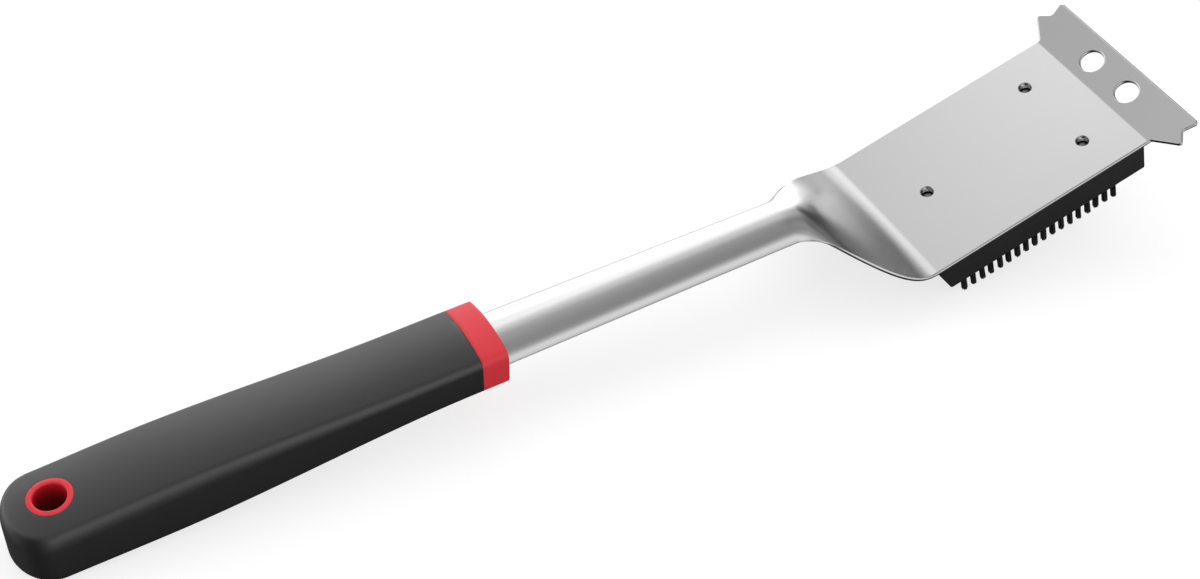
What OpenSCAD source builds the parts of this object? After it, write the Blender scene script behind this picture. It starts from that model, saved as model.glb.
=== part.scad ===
// Grill cleaning brush. One stamped sheet makes the tang, the gutter arm, the shoulder, the plate that
// carries the bristle block and the notched scraper. The handle is a rigid core with a soft grip over it.
// It lies as it does on a table: on its rear bristle tips and the underside of its tail.

/* [Plate and scraper] */
// Thickness of the stamped sheet
sheet_t = 1.6; // [1.2:0.1:2]
// Width of the flat plate
plate_w = 70; // [56:1:84]
// Length of the flat plate, from the shoulder to the bend line
plate_l = 98; // [86:1:116]
// Angle by which the scraper rises from the plate
scraper_tilt = 13.4; // [8:0.2:30]
// Height of the scraper, from the bend line to its top edge
scraper_h = 18.7; // [15:0.1:24]
// How far the lower prong stands out beyond the plate's edge
prong_out = 10.6; // [6:0.1:14]
// How far the notch stands out beyond the plate's edge
notch_out = 5.7; // [3:0.1:9]
// How far the top corner stands out beyond the plate's edge
corner_out = 7.8; // [5:0.1:12]
// Diameter of the two holes in the scraper
scraper_hole_d = 9.4; // [6:0.1:12]
// Distance between the two scraper holes
scraper_hole_gap = 21.5; // [16:0.5:30]

/* [Screws] */
// Diameter of the drawn holes in the plate
plate_hole_d = 5.1; // [4.6:0.1:6.5]
// Distance from the bend line to the front pair of screws
screw_front = 18.7; // [15:0.1:26]
// Distance from the bend line to the rear screw
screw_rear_at = 79.4; // [70:0.1:84]
// Distance between the front pair of screws
screw_pitch = 36.4; // [28:0.2:44]
// Head diameter of a screw
screw_head_d = 7.6; // [6.5:0.1:9]

/* [Shoulder and arm] */
// Length of the arm, from the collar to the start of the shoulder
arm_l = 118; // [90:1:150]
// Half width of the arm at the collar
arm_hw_back = 13.2; // [10:0.1:14]
// Half width of the arm at the shoulder
arm_hw_front = 11.8; // [9:0.1:13.5]
// Height of the arm's arch
arch_h = 7; // [5:0.1:8.5]
// Length of the shoulder, along the plate
shoulder_l = 49; // [42:1:60]
// Height of the arm's edges over the plate, where the shoulder starts
rise = 32.3; // [26:0.1:38]
// Upward tilt of the arm and handle from the plate
tilt = 14.2; // [10:0.1:18]

/* [Handle] */
// Length of the handle, from collar to tail
handle_l = 178; // [150:1:210]
// Half width of the grip behind the collar
grip_hw_front = 15.4; // [14.5:0.1:18]
// Half width of the grip at the tail
grip_hw_back = 16.8; // [15:0.1:21]
// Depth of the handle at the collar
grip_depth_front = 17.6; // [16.5:0.1:21]
// Depth of the handle at the tail
grip_depth_back = 22.8; // [18:0.1:27]
// Rise of the palm swell over the straight top line
swell = 1.9; // [0:0.1:4]
// Height of the crown across the top of the grip
crown = 2; // [0.5:0.1:3]
// Radius of the grip's upper edges
edge_r = 3.3; // [2:0.1:4]
// Radius of the grip's lower edges
under_r = 2.5; // [1.5:0.1:3.5]
// Length of the collar
collar_l = 10.5; // [8:0.5:16]
// Diameter of the hanging hole
hang_d = 11.2; // [8:0.1:13]
// Outer diameter of the eyelet round the hanging hole
eyelet_d = 15.8; // [13.5:0.1:19]
// Distance from the tail's end to the hanging hole
hang_back = 17; // [13:0.5:24]
// Length of the tang inside the handle
tang_l = 92; // [60:1:110]

/* [Bristle block] */
// Depth of the bristle block
block_h = 12.7; // [9:0.1:16]
// Distance from the bend line to the block's front end
block_front = 1.6; // [1:0.1:8]
// Slant of the block's rear end
block_slant = 4.9; // [0:0.1:8]
// Gap between the plate's edge and the block's side
block_inset = 0.4; // [0.2:0.1:3]
// Rounding of the block's upright corners
block_r = 0.8; // [0.4:0.1:4]
// Length of the bristles
bristle_l = 8.5; // [6:0.1:16]
// Tufts in each row along the block
tuft_cols = 18; // [12:1:19]
// Rows of tufts across the block
tuft_rows = 13; // [9:1:14]
// Distance from the block's side to the first row
tuft_inset = 2.2; // [2:0.1:4]
// Bare edge in front of the tufts
tuft_front = 14.2; // [5:0.1:18]

/* [Hidden] */
eps = 0.01;
fit = 0.15;               // clearance round the tang
slice_t = 1.5;            // backing slice that the tufts are fused to
rim = 0.9;                // wall of the block round that slice
pin_d = 4;
pin_at = [34, 74];        // pins along the tang, from the collar
drawn_d = plate_hole_d + 2.1;
drawn_h = 3;              // depth of a drawn hole, from the plate's top
under_t = sheet_t + block_h;
block_w = plate_w - 2*block_inset;
block_back = plate_l + 1;
tail_a = 13.5;            // length of the tail's half ellipse
tail_s = handle_l - tail_a;
hang_s = handle_l - hang_back;
arch_a = 75;              // half angle of the arch
edge_n = -11;             // the arm's edges, from the handle's top line

function mix(a, b, k) = a + (b - a)*k;
function ease(k) = let (c = min(1, max(0, k))) c*c*(3 - 2*c);

// ---- the axis of arm and handle: s runs back from the collar, n is up from the handle's top line
dir_s = [-cos(tilt), 0, sin(tilt)];
dir_n = [sin(tilt), 0, cos(tilt)];
arm_start = [-plate_l - shoulder_l, 0, rise];
neck = arm_start + arm_l*dir_s - edge_n*dir_n;
function axis(s, y, n) = neck + s*dir_s + [0, y, 0] + n*dir_n;
module on_axis() multmatrix([[-dir_s[0], 0, dir_n[0], neck[0]], [0, 1, 0, 0],
                             [-dir_s[2], 0, dir_n[2], neck[2]]]) children();

// ---- lying posture: the rear bristle tips and the tail's underside touch the table
tuft_pitch = (block_back - block_slant - block_front - tuft_end() - tuft_front)/(tuft_cols - 1);
function tuft_end() = 6.9;
row_pitch = (block_w - 2*tuft_inset)/(tuft_rows - 1);
strand_r = 0.75;
strand_off = 0.55;
tip_back = block_back - block_slant - tuft_end() + strand_off + strand_r*sin(45);
toe = [-tip_back, -under_t - bristle_l];
heel3 = axis(handle_l - under_r, 0, -grip_depth_back);
lean = atan2(heel3[2] - toe[1], toe[0] - heel3[0]);
scraper_tip = [scraper_h*cos(scraper_tilt), scraper_h*sin(scraper_tilt)];
tail_end = axis(handle_l, 0, -crown - edge_r);
function lain_x(x, z) = x*cos(lean) - z*sin(lean);
mid_x = (lain_x(scraper_tip[0], scraper_tip[1]) + lain_x(tail_end[0], tail_end[2]))/2;
foot_z = toe[0]*sin(lean) + toe[1]*cos(lean);
module lying() translate([-mid_x, 0, -foot_z]) rotate([0, -lean, 0]) children();

// ---- outline of the handle along its axis
function grip_hw(s) = mix(grip_hw_front, grip_hw_back, ease((s - 20)/125));
function grip_top(s) = swell*(ease((s - 35)/80) - 0.9*ease((s - 118)/60));
function grip_under(s) = -mix(grip_depth_front, grip_depth_back, ease((s - 12)/116));

// One cross section of the handle: q is [s, tail angle, extra inset]
function ring(q) =
  let (s = q[0], a = q[1], in = q[2], hw = grip_hw(s), top = grip_top(s) - in, low = grip_under(s) + in,
       side = top - crown - edge_r*sin(72))
  [ for (p = ring_profile(hw - in, top, low, side, crown*pow(cos(a), 2)))
      let (e = hw - in - abs(p[0]), len = tail_a - in)
      a > 0 ? [tail_s + (len - p[2])*sin(a), sign(p[0])*(hw - in - p[2])*cos(a)*p[3], p[1]]
            : [s, p[0], p[1]] ];

// Points [y, n, inset, share of width]: near lower edge, near upper edge, crown, far upper edge, far lower edge
function ring_profile(hw, top, low, side, rise_c) =
  let (half = concat(
         [ for (t = [0:30:90]) let (e = under_r*(1 - sin(t))) [hw - e, low + under_r*(1 - cos(t)), e, 1] ],
         [ for (t = [0:18:72]) let (e = edge_r*(1 - cos(t))) [hw - e, side + edge_r*sin(t), e, 1] ],
         [ for (v = [0.75, 0.5, 0.25]) let (e = edge_r*(1 - cos(72)))
             [(hw - e)*v, side + edge_r*sin(72) + rise_c*(1 - v*v), e, v] ]),
       m = len(half) - 1)
  concat([ for (p = half) [-p[0], p[1], p[2], p[3]] ],
         [[0, side + edge_r*sin(72) + rise_c, edge_r*(1 - cos(72)), 0]],
         [ for (i = [m:-1:0]) half[i] ]);

// A closed skin through equal rings of points. Each end is closed by strips between the ring's two halves
module skin(rings) {
  k = len(rings); m = len(rings[0]);
  strip = [ for (j = [0:floor(m/2) - 1]) each
    concat(j + 1 < m - 2 - j ? [[j, j + 1, m - 2 - j]] : [], [[j, m - 2 - j, m - 1 - j]]) ];
  ends = [ for (t = strip) if (t[0] != t[1] && t[1] != t[2]) t ];
  polyhedron(points = [ for (r = rings) each r ], faces = concat(
    [ for (i = [0:k - 2], j = [0:m - 1]) let (a = i*m + j, b = i*m + (j + 1) % m) each
        [[a, b, b + m], [a, b + m, a + m]] ],
    [ for (t = ends) [t[2], t[1], t[0]] ],
    [ for (t = ends) [ for (v = t) v + (k - 1)*m ] ]), convexity = 6);
}
module handle_skin(list) skin([ for (i = [len(list) - 1:-1:0]) [ for (p = ring(list[i])) [-p[0], p[1], p[2]] ] ]);

// ---- cross section of the sheet: u runs from -1 at the near edge to 1 at the far edge
function arch_y(u) = sin(arch_a*u)/sin(arch_a);
function arch_z(u) = (cos(arch_a*u) - cos(arch_a))/(1 - cos(arch_a));
function bell_z(u) = let (y = arch_y(u)) pow(1 - y*y, 2);

// A station of the sheet's top: x is in the plate's frame
function fall(x) = ease((x + plate_l + shoulder_l*0.8)/(shoulder_l*0.788));
function flare(x) = ease(pow(max(0, (x + plate_l + shoulder_l*0.904)/(shoulder_l*0.803)), 0.82));
function bump(x) = 1 - ease((x + plate_l + shoulder_l*1.01)/(shoulder_l*1.006));
function edge_z(x) = (rise - (x - arm_start[0])*tan(tilt))*(1 - fall(x));
function edge_hw(x) = mix(mix(arm_hw_back, arm_hw_front,
    min(1, max(0, (x - arm_start[0])/(arm_l*cos(tilt)) + 1))), plate_w/2, flare(x));
function sheet_point(x, u) =
  let (m = 0.82*ease((x + plate_l + shoulder_l*0.9)/(shoulder_l*0.434)),
       h = arch_h*bump(x)*mix(arch_z(u), bell_z(u), m), t = tilt*bump(x))
  [x + sin(t)*h, edge_hw(x)*arch_y(u), edge_z(x) + cos(t)*h];
function sheet_normal(x, u) =
  let (c = cross(sheet_point(x + 0.05, u) - sheet_point(x - 0.05, u),
                 sheet_point(x, min(1, u + 0.01)) - sheet_point(x, max(-1, u - 0.01))))
  c/norm(c);
us = [ for (i = [-9:9]) i/9 ];
function sheet_ring(x) = concat([ for (u = us) sheet_point(x, u) ],
  [ for (i = [len(us) - 1:-1:0]) sheet_point(x, us[i]) - sheet_t*sheet_normal(x, us[i]) ]);
// the arm's section as a flat outline [y, n], grown by g for the pocket round it
function arm_outline(g) = concat(
  [ for (u = us) [(arm_hw_back + g)*arch_y(u), edge_n + (arch_h + g)*arch_z(u)] ],
  [ for (i = [len(us) - 1:-1:0]) let (a = arch_a*us[i], nx = sin(a), nz = cos(a)*1.0, k = norm([nx, nz]))
      [arm_hw_back*arch_y(us[i]) - (sheet_t + g)*nx/k, edge_n + arch_h*arch_z(us[i]) - (sheet_t + g)*nz/k] ]);

// ---- outline of the scraper, rounded at each corner: points are [v, y, radius]
function corner(p, a, b, r) =
  let (u = (a - p)/norm(a - p), w = (b - p)/norm(b - p), h = acos(u*w)/2, d = r/tan(h),
       c = p + (u + w)/norm(u + w)*r/sin(h), s = p + u*d - c, e = p + w*d - c,
       a0 = atan2(s[1], s[0]), a1 = atan2(e[1], e[0]),
       t = a1 - a0 > 180 ? a1 - a0 - 360 : a1 - a0 < -180 ? a1 - a0 + 360 : a1 - a0)
  [ for (i = [0:5]) c + r*[cos(a0 + t*i/5), sin(a0 + t*i/5)] ];
function rounded(q) = let (n = len(q)) [ for (i = [0:n - 1])
  let (p = [q[i][0], q[i][1]], a = q[(i + n - 1) % n], b = q[(i + 1) % n])
  each q[i][2] > 0 ? corner(p, [a[0], a[1]], [b[0], b[1]], q[i][2]) : [p] ];
hw = plate_w/2;
function bent(v, w) = [v*cos(scraper_tilt) - w*sin(scraper_tilt), v*sin(scraper_tilt) + w*cos(scraper_tilt)];
function out(v, y, r) = [v/18.7*scraper_h*cos(scraper_tilt), hw + y, r];
blade_half = [[-plate_l, hw, 0], out(1, 0, 1.2), out(7.8, prong_out, 1.3), out(12.1, notch_out, 1.5),
              out(18.7, corner_out, 1.5)];
blade_outline = rounded(concat(blade_half, [ for (i = [4:-1:0]) let (p = blade_half[i]) [p[0], -p[1], p[2]] ]));

module screw_spots() {
  for (p = [[-screw_front, -screw_pitch/2], [-screw_front, screw_pitch/2], [-screw_rear_at, 0]])
    translate([p[0], p[1], 0]) children();
}

// drawn hole: rounded lip on top, a short collar of pressed metal beneath
module drawn_cut() rotate_extrude($fn = 48) polygon(concat([[0, -5], [plate_hole_d/2, -5]],
  [ for (a = [0:15:90]) [plate_hole_d/2 + 0.8*(1 - cos(a)), -0.8 + 0.8*sin(a)] ],
  [[plate_hole_d/2 + 0.8, 1], [0, 1]]));

module blade_flat() {
  difference() {
    union() {
      // plate and scraper: the sheet's side profile, cut to their outline
      intersection() {
        translate([0, 2*hw, 0]) rotate([90, 0, 0]) linear_extrude(4*hw)
          polygon([[-plate_l, 0], [-plate_l, -sheet_t], [sheet_t*tan(scraper_tilt/2), -sheet_t],
                   bent(scraper_h + 2, -sheet_t), bent(scraper_h + 2, 0), [0, 0]]);
        translate([0, 0, -5]) linear_extrude(scraper_h + 10) polygon(blade_outline);
      }
      screw_spots() translate([0, 0, -drawn_h]) cylinder(d = drawn_d, h = drawn_h - sheet_t/2, $fn = 48);
    }
    screw_spots() drawn_cut();
    rotate([0, -scraper_tilt, 0]) for (y = [-1, 1])
      translate([8.9/18.7*scraper_h, y*scraper_hole_gap/2, -5]) cylinder(d = scraper_hole_d, h = 10, $fn = 48);
  }
}

arm_end = neck + edge_n*dir_n;
stations = concat([ for (k = [0:4]) mix(arm_end[0], arm_start[0], k/4) ],
                  [ for (k = [1:20]) arm_start[0] + shoulder_l*k/20 ]);

// Extrudes a [y, n] outline along the handle's axis, from s to s + len
module along(s, len) translate([-s - len, 0, 0]) multmatrix([[0, 0, 1, 0], [1, 0, 0, 0], [0, 1, 0, 0]])
  linear_extrude(len) children();

// the arm goes a little way into the collar and carries on as a flat tang
stub_l = collar_l - 1.2;
tang_w = 15;
tang_n = edge_n + arch_h - 2.6;
module tang(g) {
  along(-eps - 3*g, stub_l + 4*g) polygon(arm_outline(g));
  translate([0, 0, tang_n - g]) linear_extrude(sheet_t + 2*g)
    polygon(rounded([[-6 + g, -tang_w/2 - g, 0], [-tang_l - g, -tang_w/2 - g, 3], [-tang_l - g, tang_w/2 + g, 3],
                     [-6 + g, tang_w/2 + g, 0]]));
}
module pins(d) for (s = pin_at) translate([-s, 0, spine[0] + 0.5]) cylinder(d = d, h = spine[1] - spine[0] - 1, $fn = 32);

module blade() {
  color([0.82, 0.82, 0.81]) lying() {
    blade_flat();
    skin([ for (x = stations) sheet_ring(x) ]);
    on_axis() difference() {
      tang(0);
      pins(pin_d + 0.1);
    }
  }
}

// ---- handle: rigid core with collar, spine and eyelet in one moulding, and the grip over it
spine = [-14.6, -2.8];    // lowest and highest n of the spine
spine_w = 21;
module spine_bar() along(collar_l - 2, hang_s - collar_l + 2) polygon(rounded(
  [[-spine_w/2, spine[0], 2], [spine_w/2, spine[0], 2], [spine_w/2, spine[1], 2], [-spine_w/2, spine[1], 2]]));
module eyelet_rod(d) translate([-hang_s, 0, -grip_depth_back - 10]) cylinder(d = d, h = grip_depth_back + 20, $fn = 64);
body_rings = concat([ for (s = [0:12]) [mix(collar_l, tail_s, s/12), 0, 0] ],
                    [ for (a = [12:12:84]) [handle_l - 4, a, 0] ]);

module handle_core() {
  color([0.80, 0.14, 0.20]) lying() on_axis() difference() {
    union() {
      handle_skin([[0, 0, 0.9], [0.26, 0, 0.26], [0.9, 0, 0], [collar_l, 0, 0]]);
      spine_bar();
      intersection() {
        handle_skin(body_rings);
        eyelet_rod(eyelet_d);
      }
    }
    eyelet_rod(hang_d);
    tang(fit);
    pins(pin_d + 0.1);
  }
}

module grip() {
  color([0.16, 0.16, 0.17]) lying() on_axis() difference() {
    handle_skin(body_rings);
    spine_bar();
    eyelet_rod(eyelet_d);
  }
}

module tang_pin(s) color([0.7, 0.7, 0.7]) lying() on_axis() translate([-s, 0, spine[0] + 0.5])
  cylinder(d = pin_d, h = spine[1] - spine[0] - 1, $fn = 32);
module tang_pin_front() tang_pin(pin_at[0]);
module tang_pin_back() tang_pin(pin_at[1]);

// ---- bristle block under the plate
head_seat = -under_t + 5.5;   // a screw head bears on this level
head_hole_d = screw_head_d + 0.8;
module block_plan(in, back, h) linear_extrude(h) polygon(rounded([
  [-block_front - in, -block_w/2 + in, block_r], [-back + in, -block_w/2 + in, block_r],
  [-back + in, block_w/2 - in, block_r], [-block_front - in, block_w/2 - in, block_r]]));

module block() {
  color([0.13, 0.13, 0.14]) lying() difference() {
    intersection() {
      translate([0, 0, -under_t]) block_plan(0, block_back, block_h);
      translate([0, block_w/2 + 1, 0]) rotate([90, 0, 0]) linear_extrude(block_w + 2) polygon([
        [0, -under_t - 1], [-block_back + block_slant - block_slant/block_h, -under_t - 1],
        [-block_back, -sheet_t], [-block_back, 1], [0, 1]]);
    }
    translate([0, 0, -under_t - eps]) block_plan(rim, block_back - block_slant, slice_t + eps);
    screw_spots() {
      translate([0, 0, -drawn_h - 0.3]) cylinder(d = drawn_d + 0.3, h = drawn_h, $fn = 48);
      translate([0, 0, -under_t - 1]) cylinder(d = 5.3, h = under_t, $fn = 32);
      translate([0, 0, -under_t - 1]) cylinder(d = head_hole_d, h = head_seat + under_t + 1, $fn = 48);
    }
  }
}

// ---- bristles: each tuft is a pair of square strands, fused to the slice in the block's underside
function by_screw(x, y) = min([ for (p = [[-screw_front, -screw_pitch/2], [-screw_front, screw_pitch/2],
  [-screw_rear_at, 0]]) norm([x - p[0], y - p[1]]) ]) < head_hole_d/2 + 1.6;
module strand(x, y) translate([x, y, -under_t - bristle_l]) rotate([0, 0, 45])
  cylinder(r = strand_r, h = bristle_l + slice_t/2, $fn = 4);

module bristles() {
  color([0.10, 0.10, 0.11]) lying() union() {
    difference() {
      translate([0, 0, -under_t]) block_plan(rim + 0.05, block_back - block_slant, slice_t - 0.05);
      screw_spots() translate([0, 0, -under_t - 1]) cylinder(d = head_hole_d, h = 4, $fn = 48);
    }
    for (i = [0:tuft_cols - 1], j = [0:tuft_rows - 1]) {
      x = -block_back + block_slant + tuft_end() + i*tuft_pitch;
      y = -block_w/2 + tuft_inset + j*row_pitch;
      if (!by_screw(x, y)) {
        strand(x - strand_off, y);
        strand(x + strand_off, y);
      }
    }
  }
}

// ---- screws, driven from the bristle side into the drawn holes
module screw(k) {
  p = [[-screw_front, -screw_pitch/2], [-screw_front, screw_pitch/2], [-screw_rear_at, 0]][k];
  color([0.55, 0.55, 0.56]) lying() translate([p[0], p[1], 0]) difference() {
    rotate_extrude($fn = 40) polygon([[0, head_seat - 2.6], [screw_head_d/2 - 1.2, head_seat - 2.6],
      [screw_head_d/2 - 0.3, head_seat - 2], [screw_head_d/2, head_seat - 1.2], [screw_head_d/2, head_seat],
      [plate_hole_d/2 - 0.1, head_seat], [plate_hole_d/2 - 0.1, -2.2], [1.4, -1.2], [0, -1.2]]);
    for (a = [0, 90]) rotate([0, 0, a]) translate([-2, -0.45, head_seat - 3]) cube([4, 0.9, 1.6]);
  }
}
module screw_near() screw(0);
module screw_far() screw(1);
module screw_rear() screw(2);

blade();
handle_core();
grip();
tang_pin_front();
tang_pin_back();
block();
bristles();
screw_near();
screw_far();
screw_rear();
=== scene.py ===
"""Looks of a grill cleaning brush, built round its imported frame.

The brush lies on its rear bristle tips and the underside of its tail. Every shape is worked out upright, in
millimetres from the middle of the plate's bend line, and the posture then lays it into the frame.
"""

import logging
import math
from dataclasses import dataclass, field
from enum import Enum
from typing import Callable, ClassVar, Dict, List, Optional, Sequence, Tuple, Union

import bpy
import numpy as np
from mathutils import Matrix, Vector, geometry


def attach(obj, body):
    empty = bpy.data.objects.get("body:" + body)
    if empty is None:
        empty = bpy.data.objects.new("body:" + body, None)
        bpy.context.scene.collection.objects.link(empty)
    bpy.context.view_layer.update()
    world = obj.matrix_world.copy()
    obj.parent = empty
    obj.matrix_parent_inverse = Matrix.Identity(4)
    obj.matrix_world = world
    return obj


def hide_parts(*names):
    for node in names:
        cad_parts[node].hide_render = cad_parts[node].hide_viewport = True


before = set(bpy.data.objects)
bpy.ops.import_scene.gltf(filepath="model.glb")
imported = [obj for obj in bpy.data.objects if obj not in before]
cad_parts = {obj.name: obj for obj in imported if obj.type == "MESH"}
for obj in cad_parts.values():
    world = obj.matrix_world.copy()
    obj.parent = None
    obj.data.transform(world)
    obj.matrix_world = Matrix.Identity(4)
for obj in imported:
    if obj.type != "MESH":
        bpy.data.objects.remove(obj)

logging.basicConfig(level=logging.INFO, format="%(message)s")
LOG = logging.getLogger("brush")

BODY = "root"
MM = 0.001
MARK = "piece_mark"
TONE = "tuft_tone"
RIGHT = math.pi / 2
WHITE = (1.0, 1.0, 1.0, 1.0)

Array = np.ndarray
Number = Union[float, np.ndarray]
Pair = Tuple[float, float]
Stretch = Tuple[float, float]
Triple = Tuple[float, float, float]
Face = Tuple[int, ...]
Object = bpy.types.Object
Material = bpy.types.Material
Node = bpy.types.Node
Socket = bpy.types.NodeSocket
Links = Dict[Union[int, str], object]


# ---- Sizes ----


@dataclass(frozen=True)
class BladeSizes:
    """Sizes of the stamped sheet, in millimetres and degrees.

    Each Stretch is a part of the shoulder: how far before the plate it starts, and how long it is, both as
    shares of the shoulder's length.
    """

    sheet_t: float = 1.6
    plate_w: float = 70.0
    plate_l: float = 98.0
    scraper_tilt: float = 13.4
    scraper_h: float = 18.7
    root_at: float = 1.0
    prong_at: float = 7.8
    prong_out: float = 10.6
    notch_at: float = 12.1
    notch_out: float = 5.7
    corner_out: float = 7.8
    corner_rs: Tuple[float, ...] = (1.2, 1.3, 1.5, 1.5)
    scraper_hole_d: float = 9.4
    scraper_hole_gap: float = 21.5
    scraper_hole_at: float = 8.9
    plate_hole_d: float = 5.1
    drawn_h: float = 3.0
    drawn_wall: float = 1.05
    drawn_r: float = 0.15
    drawn_root: float = 0.1
    arm_l: float = 118.0
    tang_in: float = 9.0
    arm_hw_back: float = 13.2
    arm_hw_front: float = 11.8
    arch_h: float = 7.0
    arch_a: float = 75.0
    shoulder_l: float = 49.0
    rise: float = 32.3
    tilt: float = 14.2
    flare: Stretch = (0.904, 0.803)
    flare_power: float = 0.82
    fall: Stretch = (0.8, 0.788)
    flatten: Stretch = (1.01, 1.006)
    soften: Stretch = (0.9, 0.434)
    soften_most: float = 0.82
    edge_r: float = 0.76
    bend_r: float = 3.0
    lip_r: float = 0.35
    thread: float = 0.22
    thread_from: float = 0.2
    thread_pitch: float = 0.7
    threads: int = 3


@dataclass(frozen=True)
class HandleSizes:
    """Sizes of the handle, in millimetres.

    Each Stretch is a part of the handle: its distance from the collar's front and its length.
    """

    length: float = 178.0
    hw_front: float = 15.4
    hw_back: float = 16.8
    widen: Stretch = (20.0, 125.0)
    depth_front: float = 17.6
    depth_back: float = 22.8
    deepen: Stretch = (12.0, 116.0)
    swell: float = 1.9
    swell_up: Stretch = (35.0, 80.0)
    swell_down: Stretch = (118.0, 60.0)
    swell_back: float = 0.9
    crown: float = 2.0
    crown_slope: float = 0.325
    crown_shares: Pair = (0.95, 0.05)
    edge_r: float = 3.3
    edge_tall: Pair = (1.15, 1.95)
    edge_grow: Stretch = (8.0, 130.0)
    under_r: float = 2.5
    seam: float = 0.12
    collar_l: float = 10.5
    collar_r: float = 0.9
    collar_body: float = 1.6
    hang_d: float = 11.2
    eyelet_d: float = 15.8
    eyelet_r: float = 0.25
    eyelet_cut: float = 0.07
    eyelet_sink: float = 1.0
    bore_r: float = 0.9
    # How the painted shade in the eyelet's bore fades towards the bore's ends.
    bore_shade_fade: float = 0.7
    hang_back: float = 17.0
    tail_a: float = 13.5
    tail_flat: float = 4.0
    tail_turns: Pair = (3.0, 89.5)
    edge_n: float = -11.0


@dataclass(frozen=True)
class BlockSizes:
    """Sizes of the bristle block, its tufts and its screws, in millimetres."""

    height: float = 12.7
    front: float = 1.6
    back_over: float = 1.0
    slant: float = 4.9
    inset: float = 0.4
    corner_r: float = 0.8
    least_r: float = 0.4
    top_r: float = 0.25
    foot_r: float = 0.6
    bristle_l: float = 8.5
    root_l: float = 1.0
    cols: int = 18
    rows: int = 13
    tuft_inset: float = 2.2
    tuft_end: float = 6.9
    tuft_front: float = 14.2
    tuft_clear: float = 5.8
    strand_reach: float = 1.08
    screw_front: float = 18.7
    screw_rear: float = 79.4
    screw_pitch: float = 36.4
    head_d: float = 7.6
    head_up: float = 5.5
    head_h: float = 2.6
    head_r: float = 1.5
    head_gap: float = 0.4
    shank_gap: float = 0.1
    shank_bore_r: float = 2.65
    shank_top: float = 2.9
    point_h: float = 0.7
    point_r: float = 1.5
    pocket_r: float = 3.75
    pocket_h: float = 4.0
    recess_l: float = 2.1
    recess_w: float = 0.5
    recess_h: float = 2.0
    recess_over: float = 0.6
    recess_taper: Pair = (0.55, 0.7)

    def screw_spots(self) -> List[Pair]:
        """Returns the places of the three screws on the plate."""
        half = self.screw_pitch / 2
        return [(-self.screw_front, -half), (-self.screw_front, half), (-self.screw_rear, 0.0)]


BLADE = BladeSizes()
HANDLE = HandleSizes()
BLOCK = BlockSizes()
UNDER_T = BLADE.sheet_t + BLOCK.height
BLOCK_BACK = BLADE.plate_l + BLOCK.back_over


# ---- Maths ----


def mix(a: Number, b: Number, k: Number) -> Number:
    """Returns the value a share k of the way from a to b."""
    return a + (b - a) * k


def ease(k: Number) -> Number:
    """Returns k held between 0 and 1, with a smooth start and end."""
    c = np.clip(k, 0.0, 1.0)
    return c * c * (3 - 2 * c)


def through(s: Number, stretch: Stretch) -> Number:
    """Returns how far s is through a stretch that has a start and a length, with smooth ends."""
    return ease((s - stretch[0]) / stretch[1])


def unit(v: Array) -> Array:
    """Returns each row of v at length 1."""
    return v / np.maximum(np.linalg.norm(v, axis=-1, keepdims=True), 1e-12)


def quarter(r: float, steps: int) -> List[Triple]:
    """Returns a rounded edge of radius r in rows: how far in, how deep, and the angle turned."""
    return [(r * (1 - math.sin(a)), r * (1 - math.cos(a)), float(a)) for a in np.linspace(0, RIGHT, steps)]


def circle(x: float, y: float, r: float, n: int) -> Array:
    """Returns n points round a circle."""
    a = np.linspace(0, 2 * math.pi, n, endpoint=False)
    return np.stack([x + r * np.cos(a), y + r * np.sin(a)], axis=-1)


@dataclass(frozen=True)
class Posture:
    """How the brush lies: turned by lean about Y, then moved so that its box stands on the table."""

    lean: float
    mid: float
    foot: float

    @staticmethod
    def of_sizes() -> "Posture":
        """Works the posture out from the sizes, as the construction does.

        Returns:
            The posture in which the rear bristle tips and the tail's underside touch the table.
        """
        toe_x = -(BLOCK_BACK - BLOCK.slant - BLOCK.tuft_end + BLOCK.strand_reach)
        toe_z = -UNDER_T - BLOCK.bristle_l
        heel = AXIS.point(HANDLE.length - HANDLE.under_r, 0.0, -HANDLE.depth_back)
        lean = math.atan2(heel[2] - toe_z, toe_x - heel[0])
        tail = AXIS.point(HANDLE.length, 0.0, -HANDLE.crown - HANDLE.edge_r)
        tip_x = BLADE.scraper_h * math.cos(math.radians(BLADE.scraper_tilt) + lean)
        mid = (tip_x + tail[0] * math.cos(lean) - tail[2] * math.sin(lean)) / 2
        return Posture(lean, mid, toe_x * math.sin(lean) + toe_z * math.cos(lean))

    def matrix(self) -> Matrix:
        """Works out how upright millimetres become the frame's metres.

        Returns:
            The matrix.
        """
        c, s = math.cos(self.lean), math.sin(self.lean)
        turned = Matrix(((c, 0, -s, -self.mid), (0, 1, 0, 0), (s, 0, c, -self.foot), (0, 0, 0, 1)))
        return Matrix.Scale(MM, 4) @ turned


@dataclass(frozen=True)
class HandleAxis:
    """The handle's axis: s runs back from the collar, n is up from the top line."""

    def directions(self) -> Tuple[Array, Array]:
        """Returns the direction along s and the direction of n."""
        t = math.radians(BLADE.tilt)
        return np.array([-math.cos(t), 0, math.sin(t)]), np.array([math.sin(t), 0, math.cos(t)])

    def point(self, s: Number, y: Number, n: Number) -> Array:
        """Places points on the handle.

        Args:
            s: Distances back from the collar's front.
            y: Distances across.
            n: Levels above the top line.

        Returns:
            The upright points.
        """
        ds, dn = self.directions()
        start = np.array([-BLADE.plate_l - BLADE.shoulder_l, 0, BLADE.rise])
        neck = start + BLADE.arm_l * ds - HANDLE.edge_n * dn
        s, y, n = (np.asarray(v, float)[..., None] for v in (s, y, n))
        return neck + s * ds + n * dn + y * np.array([0.0, 1.0, 0.0])


AXIS = HandleAxis()
POSTURE = Posture.of_sizes()


# ---- Mesh tools ----


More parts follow.
